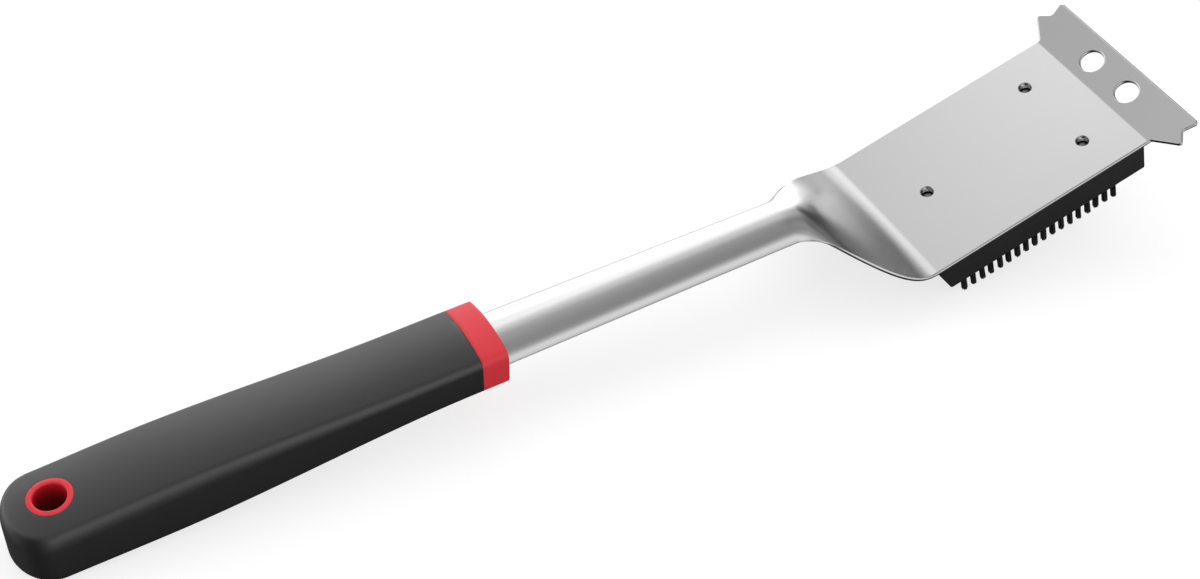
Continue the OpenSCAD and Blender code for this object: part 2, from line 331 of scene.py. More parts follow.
@dataclass
class Shell:
    """Collects patches, welds them and makes one closed mesh.

    Args:
        points: Patches of points, in upright millimetres.
        normals: A normal for each point.
        marks: A value from 0 to 1 for each point, which the finish reads.
        faces: Faces, as indices into all the points so far.
        count: How many points there are so far.
        weld: Points nearer than this become one, in millimetres.
    """

    points: List[Array] = field(default_factory=list)
    normals: List[Array] = field(default_factory=list)
    marks: List[Array] = field(default_factory=list)
    faces: List[Face] = field(default_factory=list)
    count: int = 0
    weld: float = 2e-4

    def add(self, points: Array, normals: Array, faces: Sequence[Sequence[int]], marks: Number = 0.0) -> None:
        """Adds a patch.

        Args:
            points: The points.
            normals: One outward normal for each point, or one for all.
            faces: Faces as indices into this patch.
            marks: One value for each point, or one for all.
        """
        normals, marks = np.broadcast_to(normals, points.shape), np.broadcast_to(marks, points.shape[:-1])
        self.points.append(points.reshape(-1, 3))
        self.normals.append(unit(normals.reshape(-1, 3)))
        self.marks.append(marks.reshape(-1))
        self.faces += [tuple(i + self.count for i in f) for f in faces]
        self.count += len(self.points[-1])

    def grid(self, points: Array, normals: Array, wrap: bool = False, marks: Number = 0.0) -> None:
        """Adds a grid of quads.

        Args:
            points: Rows by columns by 3.
            normals: The same shape, or one for all.
            wrap: Whether the last column joins the first.
            marks: One value for each point, or one for all.
        """
        rows, cols = points.shape[:2]
        ends = [(c, (c + 1) % cols) for c in range(cols if wrap else cols - 1)]
        starts = range(0, (rows - 1) * cols, cols)
        faces = [(r + a, r + b, r + cols + b, r + cols + a) for r in starts for a, b in ends]
        self.add(points, normals, faces, marks)

    @staticmethod
    def welded(face: Face, same: Array, pts: Array, normals: Array) -> Tuple[List[int], List[Array]]:
        """Carries a face over to the welded points, facing the way its normals do.

        Args:
            face: Indices into the points as added.
            same: The welded index of each point.
            pts: The welded points.
            normals: The normals as added.

        Returns:
            The face and its corners' normals, both empty when the weld has closed it up.
        """
        ids = [int(same[i]) for i in face]
        keep = [k for k in range(len(ids)) if ids[k] != ids[k - 1]]
        if len({ids[k] for k in keep}) < 3:
            return [], []
        ids, own = [ids[k] for k in keep], [normals[face[k]] for k in keep]
        corner = pts[ids[0]]
        way = np.cross(pts[ids[1]] - corner, pts[ids[2]] - corner)
        if len(ids) == 4:
            way = way + np.cross(pts[ids[2]] - corner, pts[ids[3]] - corner)
        if float(np.dot(way, np.sum(own, axis=0))) < 0:
            ids, own = ids[::-1], own[::-1]
        return ids, own

    def build(self, name: str, own_normals: bool = False) -> Object:
        """Welds the patches and makes the object, laid in its posture.

        Args:
            name: The piece's name.
            own_normals: Whether the given normals shade the mesh, or smooth shading does.

        Returns:
            The new object, at the origin.
        """
        pts, normals = np.concatenate(self.points), np.concatenate(self.normals)
        key = np.round(pts / self.weld).astype(np.int64)
        _, first, same = np.unique(key, axis=0, return_index=True, return_inverse=True)
        same, pts = same.reshape(-1), pts[first]
        marks = np.zeros(len(first))
        np.maximum.at(marks, same, np.concatenate(self.marks))
        kept = [found for found in (self.welded(f, same, pts, normals) for f in self.faces) if found[0]]
        mesh = bpy.data.meshes.new(name)
        mesh.from_pydata(pts.tolist(), [], [ids for ids, _ in kept])
        mesh.transform(POSTURE.matrix())
        mesh.polygons.foreach_set("use_smooth", [True] * len(mesh.polygons))
        if marks.any():
            mesh.attributes.new(MARK, "FLOAT", "POINT").data.foreach_set("value", marks)
        if own_normals:
            turn = np.array(POSTURE.matrix().to_3x3().normalized())
            mesh.normals_split_custom_set([tuple(turn @ n) for _, own in kept for n in own])
        mesh.update()
        return linked(name, mesh)


def linked(name: str, data: bpy.types.ID) -> Object:
    """Links a new object into the scene.

    Args:
        name: Its name.
        data: Its mesh, camera or lamp.

    Returns:
        The object.
    """
    obj = bpy.data.objects.new(name, data)
    bpy.context.scene.collection.objects.link(obj)
    return obj


def triangulate(outer: Array, holes: Sequence[Array], lines: Sequence[Array]) -> Tuple[Array, List[Face]]:
    """Fills a flat outline that has holes.

    Args:
        outer: The outline's points, in order.
        holes: Each hole's points, in order.
        lines: Chains of points that the triangles keep as edges.

    Returns:
        The points and the triangles.
    """
    points: List[Vector] = []
    edges: List[Tuple[int, int]] = []
    for ring, closed in [(outer, True)] + [(h, True) for h in holes] + [(line, False) for line in lines]:
        start, end = len(points), len(points) + len(ring) - 1
        points += [Vector((float(p[0]), float(p[1]))) for p in ring]
        edges += [(i, i + 1) for i in range(start, end)]
        if closed:
            edges.append((end, start))
    found, _, tris, *_ = geometry.delaunay_2d_cdt(points, edges, [], 0, 1e-5)
    flat = np.array([(v[0], v[1]) for v in found])
    kept = []
    for tri in tris:
        middle = flat[list(tri)].mean(axis=0)
        if inside(middle, outer) and not any(inside(middle, hole) for hole in holes):
            kept.append(tuple(tri))
    return flat, kept


def inside(point: Array, ring: Array) -> bool:
    """Tells whether a point lies inside a closed outline.

    Args:
        point: The point.
        ring: The outline's points, in order.

    Returns:
        Whether it lies inside.
    """
    x, y = point
    a, b = ring, np.roll(ring, -1, axis=0)
    cross = (a[:, 1] > y) != (b[:, 1] > y)
    with np.errstate(divide="ignore", invalid="ignore"):
        at = a[:, 0] + (y - a[:, 1]) / (b[:, 1] - a[:, 1]) * (b[:, 0] - a[:, 0])
    return bool(np.count_nonzero(cross & (x < at)) % 2)


def rounded(corners: Sequence[Triple], steps: int) -> Array:
    """Rounds the corners of a closed outline.

    Args:
        corners: Each corner's place and radius, which is 0 for a sharp one.
        steps: Points along each arc, less one.

    Returns:
        The rounded outline.
    """
    out: List[Array] = []
    for i, (x, y, r) in enumerate(corners):
        p = np.array([x, y])
        if r <= 0:
            out.append(p)
            continue
        u = unit(np.array(corners[i - 1][:2]) - p)
        w = unit(np.array(corners[(i + 1) % len(corners)][:2]) - p)
        half = math.acos(float(np.clip(u @ w, -1, 1))) / 2
        centre = p + unit(u + w) * r / math.sin(half)
        first, last = (p + way * r / math.tan(half) - centre for way in (u, w))
        start = math.atan2(first[1], first[0])
        turn = (math.atan2(last[1], last[0]) - start + math.pi) % (2 * math.pi) - math.pi
        angles = np.linspace(start, start + turn, steps + 1)
        out += [centre + r * np.array([math.cos(a), math.sin(a)]) for a in angles]
    return np.array(out)


def outward(ring: Array, hole: bool) -> Array:
    """Works out the way out of the material at each point of an anticlockwise outline.

    Args:
        ring: The outline's points.
        hole: Whether it is a hole's closed outline, or the sheet's own open one.

    Returns:
        A flat normal for each point.
    """
    along = np.roll(ring, -1, axis=0) - np.roll(ring, 1, axis=0) if hole else np.gradient(ring, axis=0)
    n = unit(np.stack([along[:, 1], -along[:, 0]], axis=-1))
    return -n if hole else n


def sweep(place: Array, n: Array, out: Array, profile: Array) -> Tuple[Array, Array]:
    """Runs the profile of an edge along a line.

    Args:
        place: The line's points, on the top side.
        n: The top normal at each.
        out: The way out of the material at each.
        profile: Rows of how far in, how deep, and the normal's angle.

    Returns:
        The rows of points and their normals.
    """
    inset, deep, angle = (profile[None, :, i, None] for i in range(3))
    n, out = n[:, None], out[:, None]
    return place[:, None] - inset * out - deep * n, np.cos(angle) * n + np.sin(angle) * out


def finished(obj: Object, name: str) -> Object:
    """Applies an object's modifiers.

    Args:
        obj: The object with live modifiers.
        name: The name that the plain mesh takes.

    Returns:
        The same object with a plain mesh and no modifiers.
    """
    bpy.context.view_layer.update()
    shown = obj.evaluated_get(bpy.context.evaluated_depsgraph_get())
    mesh = bpy.data.meshes.new_from_object(shown)
    obj.modifiers.clear()
    obj.data = mesh
    mesh.name = name
    return obj


def cut(obj: Object, cutters: Sequence[Object], angle: float = 35.0) -> Object:
    """Cuts solids out of an object and marks its sharp edges.

    Args:
        obj: The object to cut.
        cutters: Closed solids, which are removed afterwards.
        angle: Edges that turn by more degrees than this stay sharp.

    Returns:
        The cut object.
    """
    for cutter in cutters:
        m = obj.modifiers.new("cut", "BOOLEAN")
        m.operation, m.solver, m.object = "DIFFERENCE", "EXACT", cutter
    finished(obj, obj.name)
    for cutter in cutters:
        bpy.data.objects.remove(cutter)
    obj.data.polygons.foreach_set("use_smooth", [True] * len(obj.data.polygons))
    return sharpened(obj, angle)


def sharpened(obj: Object, angle: float = 50.0) -> Object:
    """Marks the edges that turn by more than an angle as sharp, and returns the object."""
    obj.data.set_sharp_from_angle(angle=math.radians(angle))
    return obj


def lathe(profile: Sequence[Pair], place: Callable[[Array], Array], n: int, name: str) -> Object:
    """Turns a profile about an axis into a closed solid.

    Args:
        profile: Radius and height of each point, from one end on the axis to the other.
        place: Puts points given as x, y and height into upright millimetres.
        n: Points round the axis.
        name: The object's name.

    Returns:
        The solid.
    """
    shell = Shell()
    a = np.linspace(0, 2 * math.pi, n, endpoint=False)
    p = np.array(profile)
    d = np.gradient(p, axis=0)
    pts, way = (
        np.stack([r * np.cos(a), r * np.sin(a), np.repeat(h, n, axis=1)], axis=-1)
        for r, h in ((p[:, :1], p[:, 1:]), (d[:, 1:], -d[:, :1]))
    )
    shell.grid(place(pts), place(way) - place(np.zeros(3)), wrap=True)
    return shell.build(name)


# ---- The pieces ----


@dataclass
class Blade:
    """The stamped sheet: arm, shoulder, plate with drawn holes, and the notched scraper."""

    sizes: BladeSizes = BLADE
    across: int = 61
    arm_rows: int = 26
    shoulder_rows: int = 96
    bend_rows: int = 7
    plate_hole_n: int = 64
    scraper_hole_n: int = 72

    def share(self, x: Array, stretch: Stretch) -> Array:
        """Returns how far x is through a stretch of the shoulder, from 0 at its start to 1 at its end."""
        z = self.sizes
        return (x + z.plate_l + z.shoulder_l * stretch[0]) / (z.shoulder_l * stretch[1])

    def half_width(self, x: Array) -> Array:
        """Works out the sheet's half width: the arm's, flaring into the plate's along the shoulder.

        Args:
            x: Places along.

        Returns:
            The half widths.
        """
        z = self.sizes
        run = (x + z.plate_l + z.shoulder_l) / (z.arm_l * math.cos(math.radians(z.tilt))) + 1
        arm = mix(z.arm_hw_back, z.arm_hw_front, np.clip(run, 0, 1))
        return mix(arm, z.plate_w / 2, ease(np.maximum(0, self.share(x, z.flare)) ** z.flare_power))

    def surface(self, x: Array, u: Array) -> Array:
        """Places points of the sheet's top side.

        Args:
            x: Places along, in the plate's frame.
            u: Places across, from -1 to 1.

        Returns:
            The points.
        """
        z = self.sizes
        a, tilt = math.radians(z.arch_a), math.radians(z.tilt)
        y = np.sin(a * u) / math.sin(a)
        arch = (np.cos(a * u) - math.cos(a)) / (1 - math.cos(a))
        bump = 1 - ease(self.share(x, z.flatten))
        soft = z.soften_most * ease(self.share(x, z.soften))
        h = z.arch_h * bump * mix(arch, (1 - y * y) ** 2, soft)
        line = z.rise - (x + z.plate_l + z.shoulder_l) * math.tan(tilt)
        level = line * (1 - ease(self.share(x, z.fall)))
        lean = tilt * bump
        return np.stack([x + np.sin(lean) * h, self.half_width(x) * y, level + np.cos(lean) * h], axis=-1)

    def slopes(self, x: Array, u: Array) -> Tuple[Array, Array]:
        """Works out directions on the sheet from points a small step apart.

        Args:
            x: Places along.
            u: Places across.

        Returns:
            The top normal and the direction along.
        """
        step_x, step_u = 0.05, 0.004
        ahead = self.surface(x + step_x, u) - self.surface(x - step_x, u)
        across = self.surface(x, u + step_u) - self.surface(x, u - step_u)
        return unit(np.cross(ahead, across)), unit(ahead)

    def rim(self) -> Array:
        """Returns the profile of a rounded edge: how far in, how deep, and the angle of its normal."""
        rows = quarter(self.sizes.edge_r, steps=5)
        return np.array(rows + [(i, self.sizes.sheet_t - d, math.pi - a) for i, d, a in reversed(rows)])

    def drawn(self) -> Array:
        """Works out the edge of a hole drawn down through the plate: lip, thread, foot and outer wall.

        Returns:
            The profile: how far in, how deep, and the angle of its normal.
        """
        z = self.sizes
        deep, wall, r = z.drawn_h, z.drawn_wall, z.drawn_r
        half = z.thread_pitch / 2
        lean = math.atan2(z.thread, half)
        rows = quarter(z.lip_r, steps=6)
        for k in range(z.threads):
            d = z.lip_r + z.thread_from + k * z.thread_pitch
            rows += [(0.0, d, RIGHT + lean), (z.thread, d + half, RIGHT + lean)]
            rows += [(z.thread, d + half, RIGHT - lean), (0.0, d + 2 * half, RIGHT - lean)]
        rows += [(0.0, deep - r, RIGHT), (r, deep, 1.5 * RIGHT), (wall - r, deep, 2 * RIGHT)]
        rows += [(wall, level, angle * RIGHT) for level, angle in
                 ((deep - r, 2.5), (z.sheet_t + z.drawn_root, 3), (z.sheet_t, 2.5))]
        return np.array(rows)

    @staticmethod
    def rim_marks(profile: Array) -> Array:
        """Marks the rows of an edge that are rounded.

        Args:
            profile: The edge's rows.

        Returns:
            1 for each row but the first and the last, which belong to the flat sides.
        """
        marks = np.ones((1, len(profile)))
        marks[0, [0, -1]] = 0.0
        return marks

    def arm(self, shell: Shell) -> None:
        """Adds the arm and the shoulder, with their rounded edges and the arm's closed end.

        Args:
            shell: Where the faces go.
        """
        z = self.sizes
        start = -z.plate_l - z.shoulder_l
        back = AXIS.point(0, 0, HANDLE.edge_n)[0] - z.tang_in * math.cos(math.radians(z.tilt))
        arm = np.linspace(back, start, self.arm_rows)
        xs = np.concatenate([arm[:-1], np.linspace(start, -z.plate_l, self.shoulder_rows)])
        middle = np.meshgrid(xs, np.linspace(-1, 1, self.across)[1:-1], indexing="ij")
        top, top_n = self.surface(*middle), self.slopes(*middle)[0]
        edges = []
        for sign in (-1.0, 1.0):
            u = np.full_like(xs, sign)
            n, ahead = self.slopes(xs, u)
            edges.append(sweep(self.surface(xs, u), n, unit(np.cross(ahead, n)) * -sign, self.rim()))
        (left, left_n), (right, right_n) = edges
        upper = np.concatenate([left[:, :1], top, right[:, :1]], axis=1)
        upper_n = np.concatenate([left_n[:, :1], top_n, right_n[:, :1]], axis=1)
        under = np.concatenate([left[:, -1:], top - z.sheet_t * top_n, right[:, -1:]], axis=1)
        shell.grid(upper, upper_n)
        shell.grid(under, -upper_n)
        for edge, edge_n in edges:
            shell.grid(edge, edge_n, marks=self.rim_marks(self.rim()))
        shell.grid(np.stack([upper[0], under[0]]), upper[0, 0] - upper[1, 0])

    def bent(self, flat: Array) -> Tuple[Array, Array, Array]:
        """Bends the flat blank up into the scraper.

        Args:
            flat: Points of the blank, along and across.

        Returns:
            The points, their top normals and the direction along.
        """
        turn, r = math.radians(self.sizes.scraper_tilt), self.sizes.bend_r
        start = -r * math.tan(turn / 2)
        s = flat[:, 0] - start
        a = np.clip(s / r, 0, turn)
        over = np.maximum(0, s - r * turn)
        x = np.where(s < 0, flat[:, 0], start + r * np.sin(a) + over * math.cos(turn))
        h = np.where(s < 0, 0.0, r * (1 - np.cos(a)) + over * math.sin(turn))
        points, n, along = (
            np.stack(parts, axis=-1)
            for parts in ((x, flat[:, 1], h), (-np.sin(a), 0 * a, np.cos(a)), (np.cos(a), 0 * a, np.sin(a)))
        )
        return points, n, along

    def bend_stops(self) -> List[float]:
        """Returns the places along the blank where the bend is divided."""
        reach = self.sizes.bend_r * math.tan(math.radians(self.sizes.scraper_tilt) / 2)
        return list(np.linspace(-reach, reach, self.bend_rows))

    def outline(self) -> Array:
        """Works out the blank's outline, from the shoulder round the scraper and back.

        Returns:
            The outline's points, anticlockwise, with the bend's stops along both sides.
        """
        z = self.sizes
        hw = z.plate_w / 2
        outs = {z.root_at: 0.0, z.prong_at: z.prong_out, z.notch_at: z.notch_out, z.scraper_h: z.corner_out}
        half = [(x, hw + out, r) for (x, out), r in zip(outs.items(), z.corner_rs)]
        corners = [(-z.plate_l, -hw, 0.0)] + [(x, -y, r) for x, y, r in half]
        corners += [(x, y, r) for x, y, r in reversed(half)] + [(-z.plate_l, hw, 0.0)]
        ring = rounded(corners, steps=9)
        near, far = ([np.array([x, y]) for x in self.bend_stops()] for y in (-hw, hw))
        return np.array([ring[0], *near, *ring[1:-1], *reversed(far), ring[-1]])

    def strip(self, shell: Shell, ring: Array, profile: Array, hole: bool) -> Array:
        """Adds the edge along an outline.

        Args:
            shell: Where the faces go.
            ring: The outline's points.
            profile: How far in, how deep, and the normal's angle.
            hole: Whether it is a hole's outline, or the sheet's own.

        Returns:
            The outline of the flat top, inside the edge.
        """
        flat_n = outward(ring, hole)
        place, n, ahead = self.bent(ring)
        out = flat_n[:, :1] * ahead + flat_n[:, 1:] * np.array([0.0, 1.0, 0.0])
        pts, nrm = sweep(place, n, out, profile)
        first = ring - profile[0, 0] * flat_n
        top, top_n, _ = self.bent(first)
        pts[:, 0], pts[:, -1] = top, top - self.sizes.sheet_t * top_n
        if hole:
            pts, nrm = np.concatenate([pts, pts[:1]]), np.concatenate([nrm, nrm[:1]])
        shell.grid(pts, nrm, marks=self.rim_marks(profile))
        return first

    def plate(self, shell: Shell) -> None:
        """Adds the plate and the scraper, with their holes.

        Args:
            shell: Where the faces go.
        """
        z = self.sizes
        chain = self.strip(shell, self.outline(), self.rim(), False)
        spots = [(x, y, z.plate_hole_d / 2, self.plate_hole_n, self.drawn()) for x, y in BLOCK.screw_spots()]
        for y in (-z.scraper_hole_gap / 2, z.scraper_hole_gap / 2):
            spots.append((z.scraper_hole_at, y, z.scraper_hole_d / 2, self.scraper_hole_n, self.rim()))
        holes = [self.strip(shell, circle(x, y, r, n), profile, True) for x, y, r, n, profile in spots]
        seam = self.surface(-z.plate_l, np.linspace(1, -1, self.across)[1:-1])[:, :2]
        hw = z.plate_w / 2 - z.edge_r
        lines = [np.array([[x, -hw], [x, hw]]) for x in self.bend_stops()]
        flat, tris = triangulate(np.concatenate([chain, seam]), holes, lines)
        top, n, _ = self.bent(flat)
        shell.add(top, n, tris)
        shell.add(top - z.sheet_t * n, -n, tris)

    def build(self) -> Object:
        """Makes the whole blade.

        Returns:
            The blade.
        """
        shell = Shell()
        self.arm(shell)
        self.plate(shell)
        return shell.build("blade_sheet", own_normals=True)


@dataclass
class Handle:
    """The grip, and the red moulding that shows as its collar and eyelet."""

    sizes: HandleSizes = HANDLE
    edge_rows: int = 13
    body_rows: int = 84
    tail_rows: int = 40
    round_n: int = 128
    bore_rows: int = 11
    collar_rows: int = 8

    def half_width(self, s: Number) -> Number:
        """Returns the half width at s."""
        return mix(self.sizes.hw_front, self.sizes.hw_back, through(s, self.sizes.widen))

    def top(self, s: Number) -> Number:
        """Returns the level of the top line at s."""
        z = self.sizes
        return z.swell * (through(s, z.swell_up) - z.swell_back * through(s, z.swell_down))

    def low(self, s: Number) -> Number:
        """Returns the level of the underside at s."""
        return -mix(self.sizes.depth_front, self.sizes.depth_back, through(s, self.sizes.deepen))

    def shoulder(self, s: float) -> Pair:
        """Works out the upper rounding.

        Args:
            s: Distance from the collar's front.

        Returns:
            Its height, and the angle at which it meets the crown.
        """
        z = self.sizes
        tall = z.edge_r * float(mix(*z.edge_tall, through(s, z.edge_grow)))
        return tall, math.atan2(tall / z.edge_r, z.crown_slope)

    def section(self, s: float) -> Array:
        """Works out the profile of the section at s.

        Args:
            s: Distance from the collar's front.

        Returns:
            Rows of side, share of the crown's width, inset, rise, and 1 for rows counted from the side's top.
        """
        z = self.sizes
        tall, turn = self.shoulder(s)
        half = [(1.0, inset, up, 0.0) for inset, up, _ in quarter(z.under_r, steps=9)]
        for a in np.linspace(0, turn, self.edge_rows):
            half.append((1.0, z.edge_r * (1 - math.cos(a)), tall * math.sin(a), 1.0))
        inset, up = half[-1][1:3]
        half += [(v, inset, up, 1.0) for v in np.linspace(*z.crown_shares, self.edge_rows)]
        rows = [(-1.0, *r) for r in half] + [(1.0, 0.0, inset, up, 1.0)] + [(1.0, *r) for r in reversed(half)]
        return np.array(rows)

    def ring(self, s: float, a: float, inset: float) -> Array:
        """Places one ring round the handle.

        Args:
            s: Distance from the collar's front.
            a: Angle round the tail, or 0 along the body.
            inset: How far the whole ring is drawn in.

        Returns:
            The ring's points.
        """
        z = self.sizes
        top, low = self.top(s) - inset, self.low(s) + inset
        tall, turn = self.shoulder(s)
        rise = tall * math.sin(turn)
        sign, v, e, up, upper = self.section(s).T
        level = np.where(upper > 0, top - z.crown - rise, low) + up
        crowned = (upper > 0) & (np.abs(up - rise) < 1e-9)
        level = level + np.where(crowned, z.crown * math.cos(a) ** 2 * (1 - v * v), 0.0)
        width = (self.half_width(s) - inset - e) * v * sign * math.cos(a)
        along = z.length - z.tail_a + (z.tail_a - inset - e) * math.sin(a) if a > 0 else s
        return AXIS.point(along + 0 * v, width, level)

    def skin(self, stops: Sequence[Triple], name: str) -> Object:
        """Lofts a closed solid through rings.

        Args:
            stops: Each ring's distance, tail angle and inset.
            name: The object's name.

        Returns:
            The solid.
        """
        pts = np.array([self.ring(*stop) for stop in stops])
        shell = Shell()
        shell.grid(pts, pts - pts.mean(axis=1, keepdims=True), wrap=True)
        last = pts.shape[1] - 1
        pairs = [((j, j + 1, last - 1 - j), (j, last - 1 - j, last - j)) for j in range((last + 1) // 2)]
        faces = [face for pair in pairs for face in pair]
        ahead, _ = AXIS.directions()
        shell.add(pts[0], -ahead, faces)
        shell.add(pts[-1], ahead, faces)
        return shell.build(name)

    def rod(self, d: float, low: float = -60.0, high: float = 30.0) -> Object:
        """Makes a rod on the hanging hole's axis that runs out of the handle at both ends.

        Args:
            d: Its diameter.
            low: The level of its lower end.
            high: The level of its upper end.

        Returns:
            The rod.
        """
        at = self.sizes.length - self.sizes.hang_back
        profile = [(0.0, low), (d / 2, low), (d / 2, high), (0.0, high)]
        return lathe(profile, lambda p: AXIS.point(at + p[..., 0], p[..., 1], p[..., 2]), self.round_n, "rod")

    def grip(self) -> Object:
        """Makes the soft grip, open for the eyelet.

        Returns:
            The grip.
        """
        z = self.sizes
        stops = [(z.collar_l, 0.0, z.seam), (z.collar_l + z.seam / 2, 0.0, z.seam / 3)]
        body = np.linspace(z.collar_l + z.seam, z.length - z.tail_a, self.body_rows)
        turns = np.radians(np.linspace(*z.tail_turns, self.tail_rows))
        stops += [(s, 0.0, 0.0) for s in body] + [(z.length - z.tail_flat, a, 0.0) for a in turns]
        return cut(self.skin(stops, "handle_grip"), [self.rod(z.eyelet_d)])

    def surface_level(self, s: Array, y: Array, upper: bool) -> Array:
        """Works out the level of the handle's top or underside.

        Args:
            s: Distances from the collar's front.
            y: Distances across.
            upper: Whether the top's level is wanted, or the underside's.

        Returns:
            The levels.
        """
        z = self.sizes
        if not upper:
            return self.low(s)
        end = z.length - z.tail_flat
        e = z.edge_r * (1 - math.cos(self.shoulder(end)[1]))
        k = np.clip((s - z.length + z.tail_a) / (z.tail_a - e), 0, 1)
        base = self.top(np.where(k > 0, end, s)) - z.crown
        return base + z.crown * np.clip(1 - k * k - (y / (self.half_width(s) - e)) ** 2, 0, 1)

    def mouth(self, upper: bool) -> List[Array]:
        """Places the rounded end of the eyelet, from its outside to the bore.

        Args:
            upper: Whether it is the end in the handle's top, or the one in the underside.

        Returns:
            Rows of points round the end.
        """
        z = self.sizes
        inner, outer = z.hang_d / 2, z.eyelet_d / 2
        profile = [(outer, z.eyelet_sink), (outer, z.eyelet_r)]
        profile += [(outer - z.eyelet_cut, z.eyelet_cut), (outer - z.eyelet_r, 0.0)]
        profile += [(inner + inset, deep) for inset, deep, _ in quarter(z.bore_r, steps=9)]
        rows = []
        for r, deep in profile:
            s, y = circle(z.length - z.hang_back, 0.0, r, self.round_n).T
            rows.append(AXIS.point(s, y, self.surface_level(s, y, upper) + (-deep if upper else deep)))
        return rows

    def eyelet(self) -> Object:
        """Makes the ring that lines the hanging hole, with painted shade marked on its bore, darkest towards
        the middle.

        Returns:
            The eyelet.
        """
        upper, lower = self.mouth(True), self.mouth(False)
        shares = np.linspace(0, 1, self.bore_rows)[1:-1]
        bore = [mix(upper[-1], lower[-1], k) for k in shares]
        pts = np.array([*upper, *bore, *reversed(lower), upper[0]])
        # Painted shade: the bore is marked darkest at its middle, and the red finish darkens its colour
        # there.
        dark = [math.sin(math.pi * k) ** self.sizes.bore_shade_fade for k in shares]
        deep = [0.0] * len(upper) + dark + [0.0] * (len(lower) + 1)
        shell = Shell()
        shell.grid(pts, pts - pts.mean(axis=0), wrap=True, marks=np.array(deep)[:, None])
        return sharpened(shell.build("handle_eyelet"))

    def collar(self) -> Object:
        """Makes the collar, with its rounded front and the seam's half at its back.

        Returns:
            The collar.
        """
        z = self.sizes
        stops = [(s, 0.0, inset) for s, inset, _ in reversed(quarter(z.collar_r, steps=7))]
        stops += [(s, 0.0, 0.0) for s in np.linspace(z.collar_body, z.collar_l - z.seam, self.collar_rows)]
        stops += [(z.collar_l - z.seam / 2, 0.0, z.seam / 3), (z.collar_l, 0.0, z.seam)]
        return sharpened(self.skin(stops, "handle_collar"))


@dataclass
class BrushBlock:
    """The block that holds the bristles, drilled for its screws."""

    sizes: BlockSizes = BLOCK

    def plan(self, back: float, inset: float) -> Array:
        """Works out the block's outline at one level, seen from above.

        Args:
            back: How far back it runs from the bend line.
            inset: How far it is drawn in all round.

        Returns:
            The outline.
        """
        z = self.sizes
        hw, r = BLADE.plate_w / 2 - z.inset - inset, max(z.least_r, z.corner_r - inset)
        x0, x1 = inset - back, -z.front - inset
        return rounded([(x0, -hw, r), (x1, -hw, r), (x1, hw, r), (x0, hw, r)], steps=8)

    def drills(self) -> List[Object]:
        """Makes the stepped holes: the head's bore, the shank's, and the pocket round the drawn hole.

        Returns:
            A cutter for each screw.
        """
        z = self.sizes
        below, seat, r = -UNDER_T - 1, -UNDER_T + z.head_up, z.head_d / 2 + z.head_gap
        hole = [(0, below), (r, below), (r, seat), (z.shank_bore_r, seat), (z.shank_bore_r, -z.pocket_h)]
        hole += [(z.pocket_r, -z.pocket_h), (z.pocket_r, 0.0), (0, 0.0)]
        spots = [(x, y, 0.0) for x, y in z.screw_spots()]
        return [lathe(hole, lambda p, spot=spot: p + spot, n=48, name="drill") for spot in spots]

    def build(self) -> Object:
        """Makes the block, with its slanted back, rounded edges and the screws' holes.

        Returns:
            The block.
        """
        z = self.sizes
        levels = [(-BLADE.sheet_t, z.top_r), (-BLADE.sheet_t - z.top_r, 0.0)]
        levels += [(up - UNDER_T, inset) for up, inset, _ in quarter(z.foot_r, steps=6)]
        rings = []
        for level, inset in levels:
            ring = self.plan(BLOCK_BACK + z.slant * (BLADE.sheet_t + level) / z.height, inset)
            rings.append(np.concatenate([ring, np.full((len(ring), 1), level)], axis=1))
        pts = np.array(rings)
        shell = Shell()
        shell.grid(pts, pts - pts.mean(axis=1, keepdims=True), wrap=True)
        for end, up in ((pts[0], 1.0), (pts[-1], -1.0)):
            shell.add(end, np.array([0.0, 0.0, up]), [tuple(range(len(end)))])
        return cut(shell.build("brush_block"), self.drills())


# ---- Node trees ----


